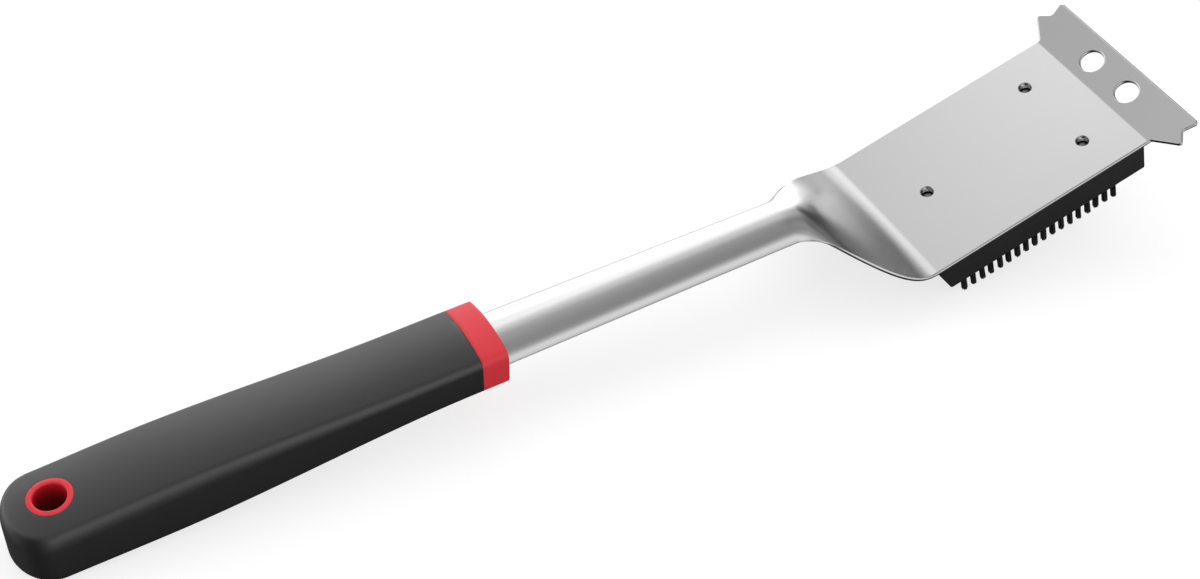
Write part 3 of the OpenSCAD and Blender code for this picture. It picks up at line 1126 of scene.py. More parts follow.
@dataclass
class Bench:
    """Adds linked nodes to a node tree."""

    tree: bpy.types.NodeTree

    def node(self, kind: str, links: Optional[Links] = None, **settings: object) -> Node:
        """Adds a node.

        Args:
            kind: The node's type.
            links: Input name or number to a socket or a value.
            settings: Properties of the node.

        Returns:
            The node.
        """
        node = self.tree.nodes.new(kind)
        for key, value in settings.items():
            setattr(node, key, value)
        for key, value in (links or {}).items():
            if isinstance(value, Socket):
                self.tree.links.new(value, node.inputs[key])
            else:
                node.inputs[key].default_value = value
        return node

    def add(self, kind: str, links: Optional[Links] = None, **settings: object) -> Socket:
        """Adds a node as node() does, and returns its first output."""
        return self.node(kind, links, **settings).outputs[0]

    def math(self, operation: str, a: object, b: object = 0.0) -> Socket:
        """Returns the result of an operation on two numbers or sockets."""
        return self.add("ShaderNodeMath", {0: a, 1: b}, operation=operation)

    def times(self, a: object, b: object) -> Socket:
        """Returns the product of two numbers or sockets."""
        return self.math("MULTIPLY", a, b)

    def vector(self, x: object = 0.0, y: object = 0.0, z: object = 0.0) -> Socket:
        """Returns a vector of three numbers or sockets."""
        return self.add("ShaderNodeCombineXYZ", {0: x, 1: y, 2: z})

    def vectors(self, operation: str, a: object, b: object, output: str = "Vector") -> Socket:
        """Returns the result of an operation on two vectors: a vector, or a number as output "Value"."""
        return self.node("ShaderNodeVectorMath", {0: a, 1: b}, operation=operation).outputs[output]

    def weighted(self, start: object, *terms: Tuple[Socket, float]) -> Socket:
        """Adds up weighted values.

        Args:
            start: A number or socket to start from.
            terms: Each socket and its weight.

        Returns:
            Start plus each socket's value times its weight.
        """
        for socket, weight in terms:
            start = self.math("ADD", start, self.times(socket, weight))
        return start

    def blend(self, factor: Socket, a: object, b: object) -> Socket:
        """Returns the colour a where the factor is 0 and the colour b where it is 1."""
        return self.node("ShaderNodeMix", {0: factor, 6: a, 7: b}, data_type="RGBA").outputs[2]

    def span(self, value: Socket, low: float, high: float) -> Socket:
        """Returns 0 where the value is at low and 1 where it is at high, smoothly and clamped."""
        return self.add("ShaderNodeMapRange", {0: value, 1: low, 2: high}, interpolation_type="SMOOTHSTEP")

    def noise(self, place: Socket, scale: object, detail: float, roughness: float) -> Socket:
        """Returns fractal noise, 0 to 1."""
        links = {"Vector": place, "Scale": scale, "Detail": detail, "Roughness": roughness}
        return self.add("ShaderNodeTexNoise", links)

    def place(self, kind: str = "Object") -> Socket:
        """Returns a point's own coordinates, or the direction looked in as kind "Generated"."""
        return self.node("ShaderNodeTexCoord").outputs[kind]

    def attribute(self, name: str) -> Socket:
        """Returns the value that a piece carries under that name."""
        return self.node("ShaderNodeAttribute", attribute_name=name).outputs["Fac"]


@dataclass
class Group(Bench):
    """A shader group that puts out numbers and has named inputs.

    Args:
        tree: The group.
        values: Each input's value, by the input's identifier.
        given: Each input's socket inside the group, by its name.
    """

    KIND: ClassVar[str] = "ShaderNodeTree"
    OUTPUT: ClassVar[str] = "NodeSocketFloat"

    values: Dict[str, object] = field(default_factory=dict)
    given: Dict[str, Socket] = field(default_factory=dict)

    @classmethod
    def make(cls, name: str, outputs: Sequence[str], inputs: Dict[str, Tuple[str, object]]) -> "Group":
        """Makes the group.

        Args:
            name: Its name.
            outputs: Each output's name.
            inputs: Each input's name, kind and value.

        Returns:
            The group, empty but for its input node.
        """
        made = cls(bpy.data.node_groups.new(name, cls.KIND))
        for label in outputs:
            made.tree.interface.new_socket(label, in_out="OUTPUT", socket_type=cls.OUTPUT)
        for label, (kind, value) in inputs.items():
            socket = made.tree.interface.new_socket(label, in_out="INPUT", socket_type="NodeSocket" + kind)
            made.values[socket.identifier] = value
            if kind == "Float":
                socket.default_value = value
        inlet = made.node("NodeGroupInput")
        made.given = {label: inlet.outputs[label] for label in inputs}
        return made

    def close(self, *results: Socket) -> bpy.types.NodeTree:
        """Links the results to the outputs, in their order, and returns the group."""
        self.node("NodeGroupOutput", dict(enumerate(results)))
        return self.tree


class Field(Group):
    """A geometry node group, which makes one piece."""

    KIND = "GeometryNodeTree"
    OUTPUT = "NodeSocketGeometry"

    def step(self, kind: str, geometry: Socket, links: Optional[Links] = None, **settings: object) -> Socket:
        """Adds a geometry node.

        Args:
            kind: The node's type, without its prefix.
            geometry: What it works on, its first input.
            links: Its other inputs.
            settings: Properties of the node.

        Returns:
            Its first output.
        """
        return self.add("GeometryNode" + kind, {0: geometry, **(links or {})}, **settings)

    def join(self, *parts: Socket) -> Socket:
        """Joins geometries.

        Args:
            parts: The geometries.

        Returns:
            All of them as one.
        """
        node = self.node("GeometryNodeJoinGeometry")
        for part in parts:
            self.tree.links.new(part, node.inputs[0])
        return node.outputs[0]

    def bake(self, result: Socket, finish: str) -> Object:
        """Closes the group, runs it on an empty object and keeps the result as a plain mesh.

        Args:
            result: The group's instances.
            finish: The input that holds the piece's material.

        Returns:
            The piece, under the group's name and laid in its posture.
        """
        real = self.step("RealizeInstances", result)
        self.close(self.step("SetMaterial", real, {"Material": self.given[finish]}))
        host = linked(self.tree.name, bpy.data.meshes.new(self.tree.name))
        modifier = host.modifiers.new("field", "NODES")
        modifier.node_group = self.tree
        for identifier, value in self.values.items():
            modifier[identifier] = value
        finished(host, host.name)
        host.data.transform(POSTURE.matrix())
        return host


@dataclass
class Tufts:
    """The field of nylon tufts, made by geometry nodes from a grid."""

    sizes: BlockSizes = BLOCK
    filaments: int = 26
    filament_r: float = 0.22
    sides: int = 6
    tip_share: float = 0.045
    tip_r: float = 0.45
    spread: float = 1.08
    dome: float = 0.05
    splay: float = 0.02
    tilt: float = 0.012
    full_turn: float = 6.2832
    golden_turn: float = 2.39996
    spiral_from: float = 0.3
    seed: int = 7

    def filament(self, t: Field) -> Socket:
        """Makes one filament of height 1, hanging down, with a rounded tip.

        Args:
            t: Where the nodes go.

        Returns:
            Its mesh.
        """
        radius, shank_h = t.given["Filament Radius"], 1 - self.tip_share
        shape = {"Vertices": self.sides, "Side Segments": 1}
        wall = {"Radius": radius, "Depth": shank_h}
        ends = {"Radius Top": radius, "Radius Bottom": t.times(radius, self.tip_r), "Depth": self.tip_share}
        shank = t.add("GeometryNodeMeshCylinder", {**shape, **wall}, fill_type="NONE")
        tip = t.add("GeometryNodeMeshCone", {**shape, **ends}, fill_type="NGON")
        shank = t.step("Transform", shank, {"Translation": (0, 0, -shank_h / 2)})
        tip = t.step("Transform", tip, {"Translation": (0, 0, -1.0)})
        return t.step("MergeByDistance", t.join(shank, tip), {"Distance": 0.001})

    def tuft(self, t: Field) -> Socket:
        """Makes one tuft: filaments on a spiral, longer in the middle and leaning a little outwards.

        Args:
            t: Where the nodes go.

        Returns:
            Its mesh.
        """
        points = t.add("GeometryNodePoints", {"Count": t.given["Filaments"]})
        index = t.add("GeometryNodeInputIndex")
        share = t.math("DIVIDE", t.math("ADD", index, self.spiral_from), t.given["Filaments"])
        reach, angle = t.math("SQRT", share), t.times(index, self.golden_turn)
        cosine, sine = t.math("COSINE", angle), t.math("SINE", angle)
        radius, lean = t.times(reach, t.given["Spread"]), t.times(reach, t.given["Splay"])
        place = t.vector(t.times(radius, cosine), t.times(radius, sine))
        moved = t.step("SetPosition", points, {"Position": place})
        turn = t.vector(t.times(lean, sine), t.times(t.times(lean, cosine), -1.0), angle)
        short = t.math("SUBTRACT", 1.0, t.times(share, t.given["Dome"]))
        scale = t.vector(1.0, 1.0, t.times(short, t.given["Filament Length"]))
        made = {"Instance": self.filament(t), "Rotation": turn, "Scale": scale}
        return t.step("RealizeInstances", t.step("InstanceOnPoints", moved, made))

    def points(self, t: Field) -> Socket:
        """Sets out the rows of points, left off round the screws.

        Args:
            t: Where the nodes go.

        Returns:
            The points.
        """
        sides = {"Size X": "Length", "Size Y": "Width", "Vertices X": "Columns", "Vertices Y": "Rows"}
        grid = t.add("GeometryNodeMeshGrid", {side: t.given[label] for side, label in sides.items()})
        points = t.step("MeshToPoints", t.step("Transform", grid, {"Translation": t.given["Middle"]}))
        flat = t.vectors("MULTIPLY", t.add("GeometryNodeInputPosition"), (1, 1, 0))
        for x, y in self.sizes.screw_spots():
            gap = {0: t.vectors("DISTANCE", flat, (x, y, 0), "Value"), 1: t.given["Clear Radius"]}
            near = t.add("FunctionNodeCompare", gap, data_type="FLOAT", operation="LESS_THAN")
            points = t.step("DeleteGeometry", points, {"Selection": near}, domain="POINT")
        return points

    def build(self, nylon: Material) -> Object:
        """Makes the field of tufts, each a little tilted and turned, and with a tone of its own.

        Args:
            nylon: The bristles' material.

        Returns:
            The baked piece.
        """
        z = self.sizes
        first, last = z.slant + z.tuft_end - BLOCK_BACK, -z.front - z.tuft_front
        t = Field.make("bristle_tufts", ["Geometry"], {
            "Columns": ("Int", z.cols), "Rows": ("Int", z.rows), "Length": ("Float", last - first),
            "Width": ("Float", BLADE.plate_w - 2 * z.inset - 2 * z.tuft_inset),
            "Middle": ("Vector", ((first + last) / 2, 0.0, z.root_l - UNDER_T)),
            "Filaments": ("Int", self.filaments), "Filament Radius": ("Float", self.filament_r),
            "Filament Length": ("Float", z.bristle_l + z.root_l), "Spread": ("Float", self.spread),
            "Dome": ("Float", self.dome), "Splay": ("Float", self.splay), "Seed": ("Int", self.seed),
            "Clear Radius": ("Float", z.tuft_clear), "Nylon": ("Material", nylon),
        })
        seed, tilt = {"Seed": t.given["Seed"]}, self.tilt
        limits = {0: (-tilt, -tilt, 0.0), 1: (tilt, tilt, self.full_turn)}
        turn = t.add("FunctionNodeRandomValue", {**limits, **seed}, data_type="FLOAT_VECTOR")
        tufts = t.step("InstanceOnPoints", self.points(t), {"Instance": self.tuft(t), "Rotation": turn})
        tone = {"Name": TONE, "Value": t.node("FunctionNodeRandomValue", seed, data_type="FLOAT").outputs[1]}
        toned = t.step("StoreNamedAttribute", tufts, tone, domain="INSTANCE", data_type="FLOAT")
        return t.bake(t.step("SetShadeSmooth", t.step("RealizeInstances", toned)), "Nylon")


@dataclass
class Screws:
    """The three pan-head screws, one shape set on three points by geometry nodes."""

    sizes: BlockSizes = BLOCK
    next_turn: float = 0.7

    def recess(self, seat: float, quarter_turn: bool) -> Object:
        """Makes one bar of the cross recess, narrower where it is deep.

        Args:
            seat: The level of the head's seat.
            quarter_turn: Whether the bar lies across.

        Returns:
            The closed bar.
        """
        z = self.sizes
        mouth = seat - z.head_h - z.recess_over
        l, w, deep = z.recess_l, z.recess_w, mouth + z.recess_h
        near, far = (
            [(-l * a, -w * b, level), (l * a, -w * b, level), (l * a, w * b, level), (-l * a, w * b, level)]
            for a, b, level in ((1.0, 1.0, mouth), (*z.recess_taper, deep))
        )
        sides = [(4 + i, 4 + (i + 1) % 4, (i + 1) % 4, i) for i in range(4)]
        mesh = bpy.data.meshes.new("recess")
        mesh.from_pydata(near + far, [], [(0, 1, 2, 3), (7, 6, 5, 4), *sides])
        mesh.transform(Matrix.Rotation(RIGHT * quarter_turn, 4, "Z"))
        return linked(mesh.name, mesh)

    def shape(self) -> Object:
        """Makes one screw with a cross recess, its head down, on the upright axis.

        Returns:
            The screw, in millimetres.
        """
        z = self.sizes
        seat, r, shank = z.head_up - UNDER_T, z.head_d / 2, BLADE.plate_hole_d / 2 - z.shank_gap
        low, round_r = seat - z.head_h, z.head_r
        profile = [(0, low), (r - round_r, low)]
        for turn in np.radians([15, 35, 55, 75, 90]):
            profile.append((r - round_r * (1 - math.sin(turn)), low + round_r * (1 - math.cos(turn))))
        profile += [(r, seat), (shank, seat), (shank, -z.shank_top - z.point_h), (z.point_r, -z.shank_top)]
        obj = lathe(profile + [(0, -z.shank_top)], lambda p: p, n=40, name="screw_shape")
        obj.data.transform(POSTURE.matrix().inverted())
        return cut(obj, [self.recess(seat, across) for across in (False, True)])

    def build(self, steel: Material) -> Object:
        """Sets the screw on a pair of points at the front and on one at the rear.

        Args:
            steel: The screws' material.

        Returns:
            The three screws as one baked piece.
        """
        z = self.sizes
        shape = self.shape()
        t = Field.make("block_screws", ["Geometry"], {
            "Screw": ("Object", shape), "Front Pair": ("Int", 2), "Pitch": ("Float", z.screw_pitch),
            "Front": ("Float", z.screw_front), "Rear": ("Float", z.screw_rear), "Finish": ("Material", steel),
        })
        pitch = t.given["Pitch"]
        start = t.vector(t.times(t.given["Front"], -1.0), t.times(pitch, -0.5))
        pair = {"Count": t.given["Front Pair"], "Start Location": start, "Offset": t.vector(0.0, pitch)}
        rear = {"Count": 1, "Start Location": t.vector(t.times(t.given["Rear"], -1.0))}
        spots = t.join(*(t.add("GeometryNodeMeshLine", line) for line in (pair, rear)))
        screw = t.node("GeometryNodeObjectInfo", {"Object": t.given["Screw"]}).outputs["Geometry"]
        turn = t.vector(z=t.times(t.add("GeometryNodeInputIndex"), self.next_turn))
        placed = t.step("InstanceOnPoints", spots, {"Instance": screw, "Rotation": turn})
        piece = t.bake(placed, "Finish")
        bpy.data.objects.remove(shape)
        return piece


# ---- Materials ----


class Slot(Enum):
    """The record's material slots."""

    STAINLESS = "stainless"
    RED = "red_plastic"
    GRIP = "black_grip"
    BLOCK = "block_plastic"
    NYLON = "nylon"
    STEEL = "steel"


def moulded_grain() -> bpy.types.NodeTree:
    """Makes the fine moulded grain: a height, and a slow mottle for tone.

    Returns:
        The shader group.
    """
    e = Group.make("moulded_grain", ["Height", "Mottle"],
                   {"Scale": ("Float", 2500.0), "Mottle Scale": ("Float", 30.0)})
    place, scale = e.place(), e.given["Scale"]
    pits = e.node("ShaderNodeTexVoronoi", {"Vector": place, "Scale": scale}).outputs["Distance"]
    height = e.weighted(0.0, (e.noise(place, scale, detail=3.0, roughness=0.6), 0.6), (pits, 0.4))
    return e.close(height, e.noise(place, e.given["Mottle Scale"], detail=4.0, roughness=0.55))


def brushed_lines() -> bpy.types.NodeTree:
    """Makes the lines of brushed sheet, drawn along X: a streak mask, a height and a slow haze.

    Returns:
        The shader group.
    """
    e = Group.make("brushed_lines", ["Streak", "Height", "Haze"],
                   {"Across": ("Float", 2600.0), "Along": ("Float", 22.0)})
    place, across = e.place(), e.given["Across"]
    lines = e.vectors("MULTIPLY", place, e.vector(e.given["Along"], across, across))
    wider = e.vectors("MULTIPLY", lines, (0.25, 0.16, 0.16))
    fine = e.noise(lines, scale=1.0, detail=1.0, roughness=0.5)
    broad = e.noise(wider, scale=1.0, detail=2.0, roughness=0.5)
    haze = e.noise(place, scale=26.0, detail=5.0, roughness=0.6)
    return e.close(e.weighted(0.0, (fine, 0.6), (broad, 0.4)), fine, haze)


def handling_marks() -> bpy.types.NodeTree:
    """Makes faint handling marks: a mask of short rubs and specks.

    Returns:
        The shader group.
    """
    e = Group.make("handling_marks", ["Marks"], {"Scale": ("Float", 60.0)})
    spots = e.noise(e.place(), e.given["Scale"], detail=6.0, roughness=0.7)
    return e.close(e.span(spots, low=0.56, high=0.74))


@dataclass
class Effects:
    """The shared shader groups, each built once."""

    grain: bpy.types.NodeTree = field(default_factory=moulded_grain)
    brushed: bpy.types.NodeTree = field(default_factory=brushed_lines)
    marks: bpy.types.NodeTree = field(default_factory=handling_marks)


@dataclass(frozen=True)
class Finish:
    """A surface finish.

    Args:
        name: The material's name.
        colour: Its base colour, linear.
        roughness: Its middle roughness.
        metallic: 1 for metal.
        specular: The specular level of a plastic.
        ior: The index of refraction.
        grain: Grain cells a metre.
        grain_depth: Depth of the grain, in metres.
        tone: How much the colour varies.
        rough_vary: How much the roughness varies.
    """

    name: str
    colour: Triple
    roughness: float
    metallic: float = 0.0
    specular: float = 0.5
    ior: float = 1.5
    grain: float = 2500.0
    grain_depth: float = 0.00002
    tone: float = 0.08
    rough_vary: float = 0.06

    def shade(self, level: float) -> Tuple[float, ...]:
        """Returns the base colour times a level."""
        return tuple(min(1.0, c * level) for c in self.colour) + (1.0,)

    def tinted(self, bench: Bench, factor: Socket) -> Socket:
        """Returns the colour, darker to lighter with the factor."""
        return bench.blend(factor, self.shade(1 - self.tone), self.shade(1 + self.tone))

    def surface(self, bench: Bench, effects: Effects) -> Tuple[Socket, Socket, Socket]:
        """Makes the nodes that vary over the surface, in each kind of finish's own way."""
        raise NotImplementedError

    def material(self, effects: Effects) -> Material:
        """Makes the material.

        Args:
            effects: The shared shader groups.

        Returns:
            The finished material.
        """
        mat = bpy.data.materials.new(self.name)
        mat.use_nodes = True
        shader = next(n for n in mat.node_tree.nodes if n.type == "BSDF_PRINCIPLED")
        constants = {"Metallic": self.metallic, "Specular IOR Level": self.specular, "IOR": self.ior}
        for label, value in constants.items():
            shader.inputs[label].default_value = value
        bench = Bench(mat.node_tree)
        colour, rough, height = self.surface(bench, effects)
        bump = bench.add("ShaderNodeBump", {"Height": height, "Distance": self.grain_depth, "Strength": 1.0})
        for label, socket in {"Base Color": colour, "Roughness": rough, "Normal": bump}.items():
            bench.tree.links.new(socket, shader.inputs[label])
        return mat


@dataclass(frozen=True)
class Moulded(Finish):
    """Moulded plastic or rubber with a fine grain, faint handling marks, and painted shade where a piece is
    marked.

    Args:
        attribute: A tone that the piece carries for each of its parts, or nothing.
        painted_shade: The level of the colour where the piece is marked, a painted shade that darkens the
            eyelet's bore.
    """

    attribute: str = ""
    painted_shade: float = 1.0

    def surface(self, bench: Bench, effects: Effects) -> Tuple[Socket, Socket, Socket]:
        """Makes the nodes that vary over the surface.

        Args:
            bench: Where the nodes go.
            effects: The shared shader groups.

        Returns:
            The colour, the roughness and the height.
        """
        grain = bench.node("ShaderNodeGroup", node_tree=effects.grain)
        grain.inputs["Scale"].default_value = self.grain
        marks = bench.add("ShaderNodeGroup", node_tree=effects.marks)
        mottle = grain.outputs["Mottle"]
        if self.attribute:
            mottle = bench.weighted(0.0, (mottle, 0.4), (bench.attribute(self.attribute), 0.6))
        colour = self.tinted(bench, mottle)
        # Painted shade: where the piece is marked, the colour darkens to the painted shade's level.
        if self.painted_shade < 1.0:
            colour = bench.blend(bench.attribute(MARK), colour, self.shade(self.painted_shade))
        vary = self.rough_vary
        rough = bench.weighted(self.roughness - vary / 2, (mottle, vary), (marks, -0.5 * vary))
        return colour, rough, grain.outputs["Height"]


@dataclass(frozen=True)
class Brushed(Finish):
    """Satin metal with lines along the sheet and a faint haze.

    Args:
        across: Lines a metre.
        along: Breaks in each line, a metre.
        marks_scale: Handling marks a metre.
        rolled: How much smoother the rounded edges are.
    """

    across: float = 2600.0
    along: float = 22.0
    marks_scale: float = 140.0
    rolled: float = 0.0

    def surface(self, bench: Bench, effects: Effects) -> Tuple[Socket, Socket, Socket]:
        """Makes the nodes that vary over the surface.

        Args:
            bench: Where the nodes go.
            effects: The shared shader groups.

        Returns:
            The colour, the roughness and the height.
        """
        lines = bench.node("ShaderNodeGroup", node_tree=effects.brushed)
        lines.inputs["Across"].default_value = self.across
        lines.inputs["Along"].default_value = self.along
        marks = bench.node("ShaderNodeGroup", node_tree=effects.marks)
        marks.inputs["Scale"].default_value = self.marks_scale
        vary, streak = self.rough_vary, lines.outputs["Streak"]
        worn = ((streak, vary), (lines.outputs["Haze"], 0.4 * vary), (marks.outputs["Marks"], 0.12 * vary))
        rough = bench.weighted(self.roughness - vary / 2, *worn, (bench.attribute(MARK), -self.rolled))
        return self.tinted(bench, streak), rough, lines.outputs["Height"]


FINISHES: Dict[Slot, Finish] = {
    Slot.STAINLESS: Brushed("stainless_sheet", (0.80, 0.80, 0.80), 0.25, metallic=1.0, grain_depth=0.0000013,
                            tone=0.02, rough_vary=0.05, rolled=0.14),
    Slot.STEEL: Brushed("plain_steel", (0.52, 0.52, 0.53), 0.34, metallic=1.0, grain_depth=0.000003,
                        tone=0.06, rough_vary=0.10),
    # The red moulding's colour falls to 0.3 where the eyelet's bore is marked, as painted shade.
    Slot.RED: Moulded("red_moulding", (0.79, 0.018, 0.034), 0.38, ior=1.66, grain=2600.0, grain_depth=0.00001,
                      tone=0.05, rough_vary=0.08, painted_shade=0.3),
    Slot.GRIP: Moulded("soft_black_grip", (0.0085, 0.0085, 0.009), 0.47, specular=1.0, ior=1.62, grain=2200.0,
                       grain_depth=0.000022, tone=0.14, rough_vary=0.10),
    Slot.BLOCK: Moulded("black_block", (0.021, 0.021, 0.022), 0.46, grain=1900.0, tone=0.15, rough_vary=0.10),
    Slot.NYLON: Moulded("black_nylon", (0.014, 0.014, 0.015), 0.36, grain=1400.0, grain_depth=0.000008,
                        tone=0.35, rough_vary=0.10, attribute=TONE),
}


@dataclass
class Dresser:
    """Makes the materials once and puts them on pieces."""

    effects: Effects = field(default_factory=Effects)
    made: Dict[Slot, Material] = field(default_factory=dict)

    def __post_init__(self) -> None:
        """Makes every finish."""
        for slot, finish in FINISHES.items():
            self.made[slot] = finish.material(self.effects)

    def cover(self, obj: Object, slot: Slot) -> None:
        """Gives an object its material in place of any other."""
        obj.data.materials.clear()
        obj.data.materials.append(self.made[slot])

    def dress(self, obj: Object, slot: Slot, *nodes: str) -> None:
        """Gives a piece its material and says what it stands for.

        Args:
            obj: The piece, finished and in place.
            slot: Its material slot.
            nodes: The CAD nodes that it replaces.
        """
        self.cover(obj, slot)
        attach(obj, BODY)
        if nodes:
            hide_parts(*nodes)
        stands_for = ", ".join(nodes) or "nothing"
        LOG.info("%s: %d faces, %s, stands for %s", obj.name, len(obj.data.polygons), slot.value, stands_for)

    def keep(self, node: str, slot: Slot) -> None:
        """Gives a CAD node that is shown a better material."""
        self.cover(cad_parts[node], slot)
        LOG.info("%s: kept as built, %s", node, slot.value)


# ---- Studio ----


@dataclass(frozen=True)
class View:
    """The camera, from the side of the tail and above."""

    place: Triple = (-0.33366, -0.48739, 0.58132)
    right: Triple = (0.86295208, -0.49973209, 0.07470975)
    up: Triple = (0.29750431, 0.62201898, 0.72428142)
    lens: float = 67.049
    sensor: float = 36.0
    shift: Pair = (-0.00875, 0.005525)

    def build(self) -> None:
        """Makes the camera and sets it as the scene's."""
        data = bpy.data.cameras.new("view")
        data.lens, data.sensor_width = self.lens, self.sensor
        data.shift_x, data.shift_y = self.shift
        data.clip_start, data.clip_end = 0.01, 50.0
        right = Vector(self.right).normalized()
        back = right.cross(Vector(self.up)).normalized()
        turn = Matrix((right, back.cross(right), back)).transposed()
        camera = linked("view", data)
        camera.matrix_world = Matrix.Translation(self.place) @ turn.to_4x4()
        bpy.context.scene.camera = camera


@dataclass(frozen=True)
class Lamp:
    """An area lamp aimed at a point, which reflections don't show."""

    name: str
    place: Triple
    aim: Triple
    size: Pair
    power: float

    def build(self) -> None:
        """Makes the lamp."""
        data = bpy.data.lights.new(self.name, "AREA")
        data.shape, data.energy = "RECTANGLE", self.power
        data.size, data.size_y = self.size
        turn = (Vector(self.aim) - Vector(self.place)).to_track_quat("-Z", "Y")
        obj = linked(self.name, data)
        obj.matrix_world = Matrix.Translation(self.place) @ turn.to_matrix().to_4x4()
        obj.visible_glossy = False


@dataclass(frozen=True)
class Patch:
    """A soft round patch of the surround.

    Args:
        azimuth: Degrees from +X towards +Y.
        height: Degrees above the table.
        spread: Degrees from the middle at which the patch has faded out.
        depth: How strong it is in its middle.
        core: The share of the spread over which it is at its full strength.
    """

    azimuth: float
    height: float
    spread: float
    depth: float
    core: float = 0.45

    def strength(self, bench: Bench, place: Socket) -> Socket:
        """Makes the patch's nodes.

        Args:
            bench: Where the nodes go.
            place: The direction looked in.

        Returns:
            The depth in the middle of the patch, falling to 0.
        """
        a, e, spread = (math.radians(v) for v in (self.azimuth, self.height, self.spread))
        way = (math.cos(e) * math.cos(a), math.cos(e) * math.sin(a), math.sin(e))
        nearness = bench.vectors("DOT_PRODUCT", place, way, "Value")
        return bench.times(bench.span(nearness, math.cos(spread), math.cos(spread * self.core)), self.depth)


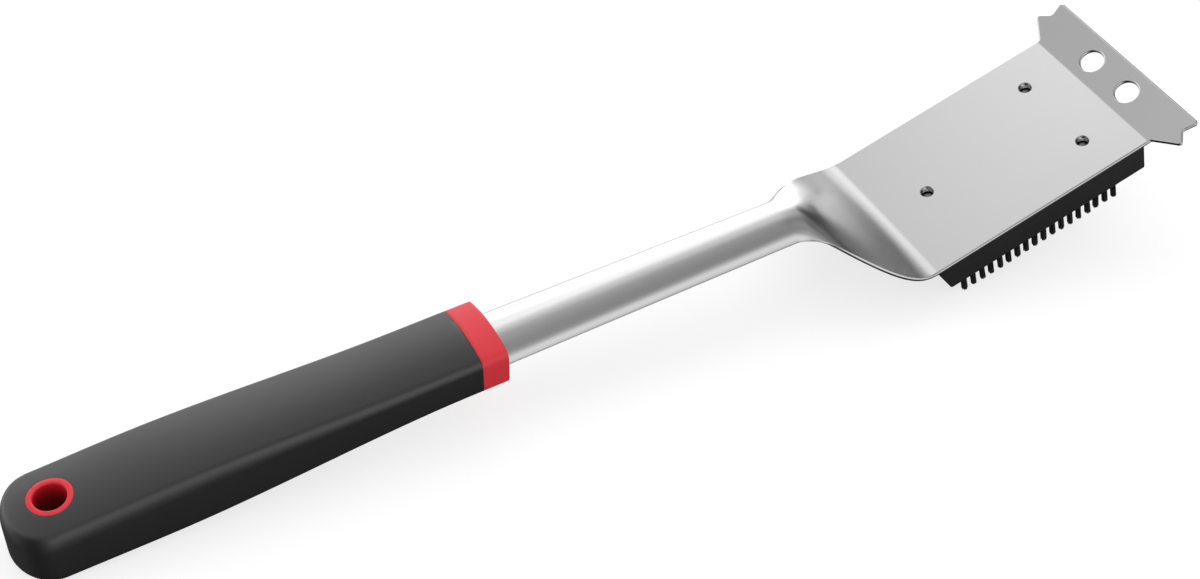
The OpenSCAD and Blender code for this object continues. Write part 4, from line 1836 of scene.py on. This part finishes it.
@dataclass
class Studio:
    """Floor, surround and lamps.

    Args:
        floor_white: The floor's reflectance.
        floor_glow: How much of its own white the camera sees in the floor.
        glow_power: How bright that white is.
        floor_reach: How far the floor runs from the origin, in metres.
        surround: The level of the surround for plain light.
        wall_azimuth: Where the white wall stands, in degrees from +X.
        blend: Heights where the walls start to give way to the ceiling, and where they end.
        walls: For reflections: the cosine of the angle from the wall's middle, and the level there.
        ceiling: The same, overhead.
        glows: Patches that add light to reflections.
        cards: Patches that take it away.
        lamps: The lamps.
    """

    floor_white: float = 0.86
    floor_glow: float = 0.62
    glow_power: float = 1.2
    floor_reach: float = 6.0
    surround: float = 0.72
    wall_azimuth: float = 115.0
    blend: Pair = (0.45, 0.70)
    walls: Tuple[Pair, ...] = (
        (-1.0, 0.65), (-0.95, 0.85), (-0.7, 0.85), (-0.45, 0.42), (-0.25, 0.12), (-0.1, 0.03), (0.1, 0.03),
        (0.22, 0.05), (0.34, 1.7), (0.46, 1.5), (0.6, 1.4), (0.8, 1.1))
    ceiling: Tuple[Pair, ...] = (
        (-1.0, 0.62), (-0.8, 0.32), (-0.62, 0.23), (-0.4, 0.27), (-0.2, 0.33), (0.0, 0.40), (0.12, 0.38),
        (0.22, 0.14), (0.34, 0.27), (0.46, 0.77), (0.6, 0.42), (0.8, 0.35))
    glows: Tuple[Patch, ...] = (
        Patch(58.0, 54.0, 18.0, 0.52), Patch(46.0, 5.0, 18.0, 0.38), Patch(62.0, 35.0, 18.0, 0.25),
        Patch(-98.0, 50.0, 22.0, 0.15))
    cards: Tuple[Patch, ...] = (
        Patch(-62.0, -52.0, 58.0, 0.96), Patch(200.0, -5.0, 62.0, 0.9), Patch(125.0, -60.0, 50.0, 0.95),
        Patch(52.0, -45.0, 33.0, 0.8), Patch(6.0, 49.0, 19.0, 0.62))
    lamps: Tuple[Lamp, ...] = (Lamp("key", (0.35, 0.7, 1.7), (0.0, 0.0, 0.0), (1.6, 1.2), 9.0),)

    def floor(self) -> None:
        """Makes a plain white floor that stays white to the camera and clear to reflections."""
        mesh = bpy.data.meshes.new("floor")
        r = self.floor_reach
        mesh.from_pydata([(-r, -r, 0), (r, -r, 0), (r, r, 0), (-r, r, 0)], [], [(0, 1, 2, 3)])
        mat = bpy.data.materials.new("floor_paper")
        mat.use_nodes = True
        nodes = mat.node_tree.nodes
        nodes.remove(next(n for n in nodes if n.type == "BSDF_PRINCIPLED"))
        bench = Bench(mat.node_tree)
        paper = bench.add("ShaderNodeBsdfDiffuse", {"Color": (self.floor_white,) * 3 + (1.0,)})
        glow = bench.add("ShaderNodeEmission", {"Color": WHITE, "Strength": self.glow_power})
        clear = bench.add("ShaderNodeBsdfTransparent")
        path = bench.node("ShaderNodeLightPath").outputs
        seen = bench.times(path["Is Camera Ray"], self.floor_glow)
        lit = bench.add("ShaderNodeMixShader", {0: seen, 1: paper, 2: glow})
        both = bench.add("ShaderNodeMixShader", {0: path["Is Glossy Ray"], 1: lit, 2: clear})
        bench.tree.links.new(both, next(n for n in nodes if n.type == "OUTPUT_MATERIAL").inputs[0])
        mesh.materials.append(mat)
        linked("floor", mesh)

    def band(self, bench: Bench, share: Socket, levels: Sequence[Pair]) -> Socket:
        """Makes one band of the surround.

        Args:
            bench: Where the nodes go.
            share: 0 away from the wall, 1 towards it.
            levels: Cosine of the angle from the wall's middle, and the level there.

        Returns:
            Half the level, because a ramp holds no more than 1.
        """
        ramp = bench.node("ShaderNodeValToRGB", {0: share})
        stops = ramp.color_ramp.elements
        for i, (at, level) in enumerate(levels):
            stop = stops[i] if i < 2 else stops.new((at + 1) / 2)
            stop.position, stop.color = (at + 1) / 2, (level / 2, level / 2, level / 2, 1.0)
        return ramp.outputs[0]

    def reflected(self, bench: Bench) -> Socket:
        """Makes what reflections show: a dark side, a white wall, a soft ceiling, glows and dark cards.

        Args:
            bench: Where the nodes go.

        Returns:
            The light's level.
        """
        place, turn = bench.place("Generated"), math.radians(self.wall_azimuth)
        side = bench.vectors("DOT_PRODUCT", place, (math.cos(turn), math.sin(turn), 0.0), "Value")
        share = bench.add("ShaderNodeMapRange", {0: side, 1: -1.0, 2: 1.0})
        height = bench.node("ShaderNodeSeparateXYZ", {0: place}).outputs["Z"]
        walls, ceiling = (self.band(bench, share, levels) for levels in (self.walls, self.ceiling))
        value = bench.times(bench.blend(bench.span(height, *self.blend), walls, ceiling), 2.0)
        for glow in self.glows:
            value = bench.math("ADD", value, glow.strength(bench, place))
        for card in self.cards:
            value = bench.times(value, bench.math("SUBTRACT", 1.0, card.strength(bench, place)))
        return value

    def world(self) -> None:
        """Makes the surround: white to the camera, even for plain light, and shaped for reflections."""
        world = bpy.data.worlds.new("surround")
        bpy.context.scene.world = world
        world.use_nodes = True
        world.node_tree.nodes.clear()
        bench = Bench(world.node_tree)
        even, shaped, white = (
            bench.add("ShaderNodeBackground", {"Color": colour, "Strength": level})
            for colour, level in ((WHITE, self.surround), (self.reflected(bench), 1.0), (WHITE, 1.0))
        )
        path = bench.node("ShaderNodeLightPath").outputs
        first = bench.add("ShaderNodeMixShader", {0: path["Is Glossy Ray"], 1: even, 2: shaped})
        last = bench.add("ShaderNodeMixShader", {0: path["Is Camera Ray"], 1: first, 2: white})
        bench.node("ShaderNodeOutputWorld", {0: last})

    def build(self) -> None:
        """Sets the studio up."""
        self.floor()
        self.world()
        for lamp in self.lamps:
            lamp.build()
        bpy.context.scene.view_settings.view_transform = "Standard"


# ---- Main ----


def main() -> None:
    """Builds the brush piece by piece, then the studio."""
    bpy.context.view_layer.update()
    View().build()
    dresser, handle = Dresser(), Handle()
    dresser.dress(Blade().build(), Slot.STAINLESS, "blade")
    dresser.dress(handle.grip(), Slot.GRIP, "grip")
    dresser.dress(handle.collar(), Slot.RED, "handle_core")
    dresser.dress(handle.eyelet(), Slot.RED)
    dresser.dress(BrushBlock().build(), Slot.BLOCK, "block")
    dresser.dress(Tufts().build(dresser.made[Slot.NYLON]), Slot.NYLON, "bristles")
    screws = Screws().build(dresser.made[Slot.STEEL])
    dresser.dress(screws, Slot.STEEL, "screw_near", "screw_far", "screw_rear")
    for node in ("tang_pin_front", "tang_pin_back"):
        dresser.keep(node, Slot.STEEL)
    Studio().build()


if __name__ == "__main__":
    main()
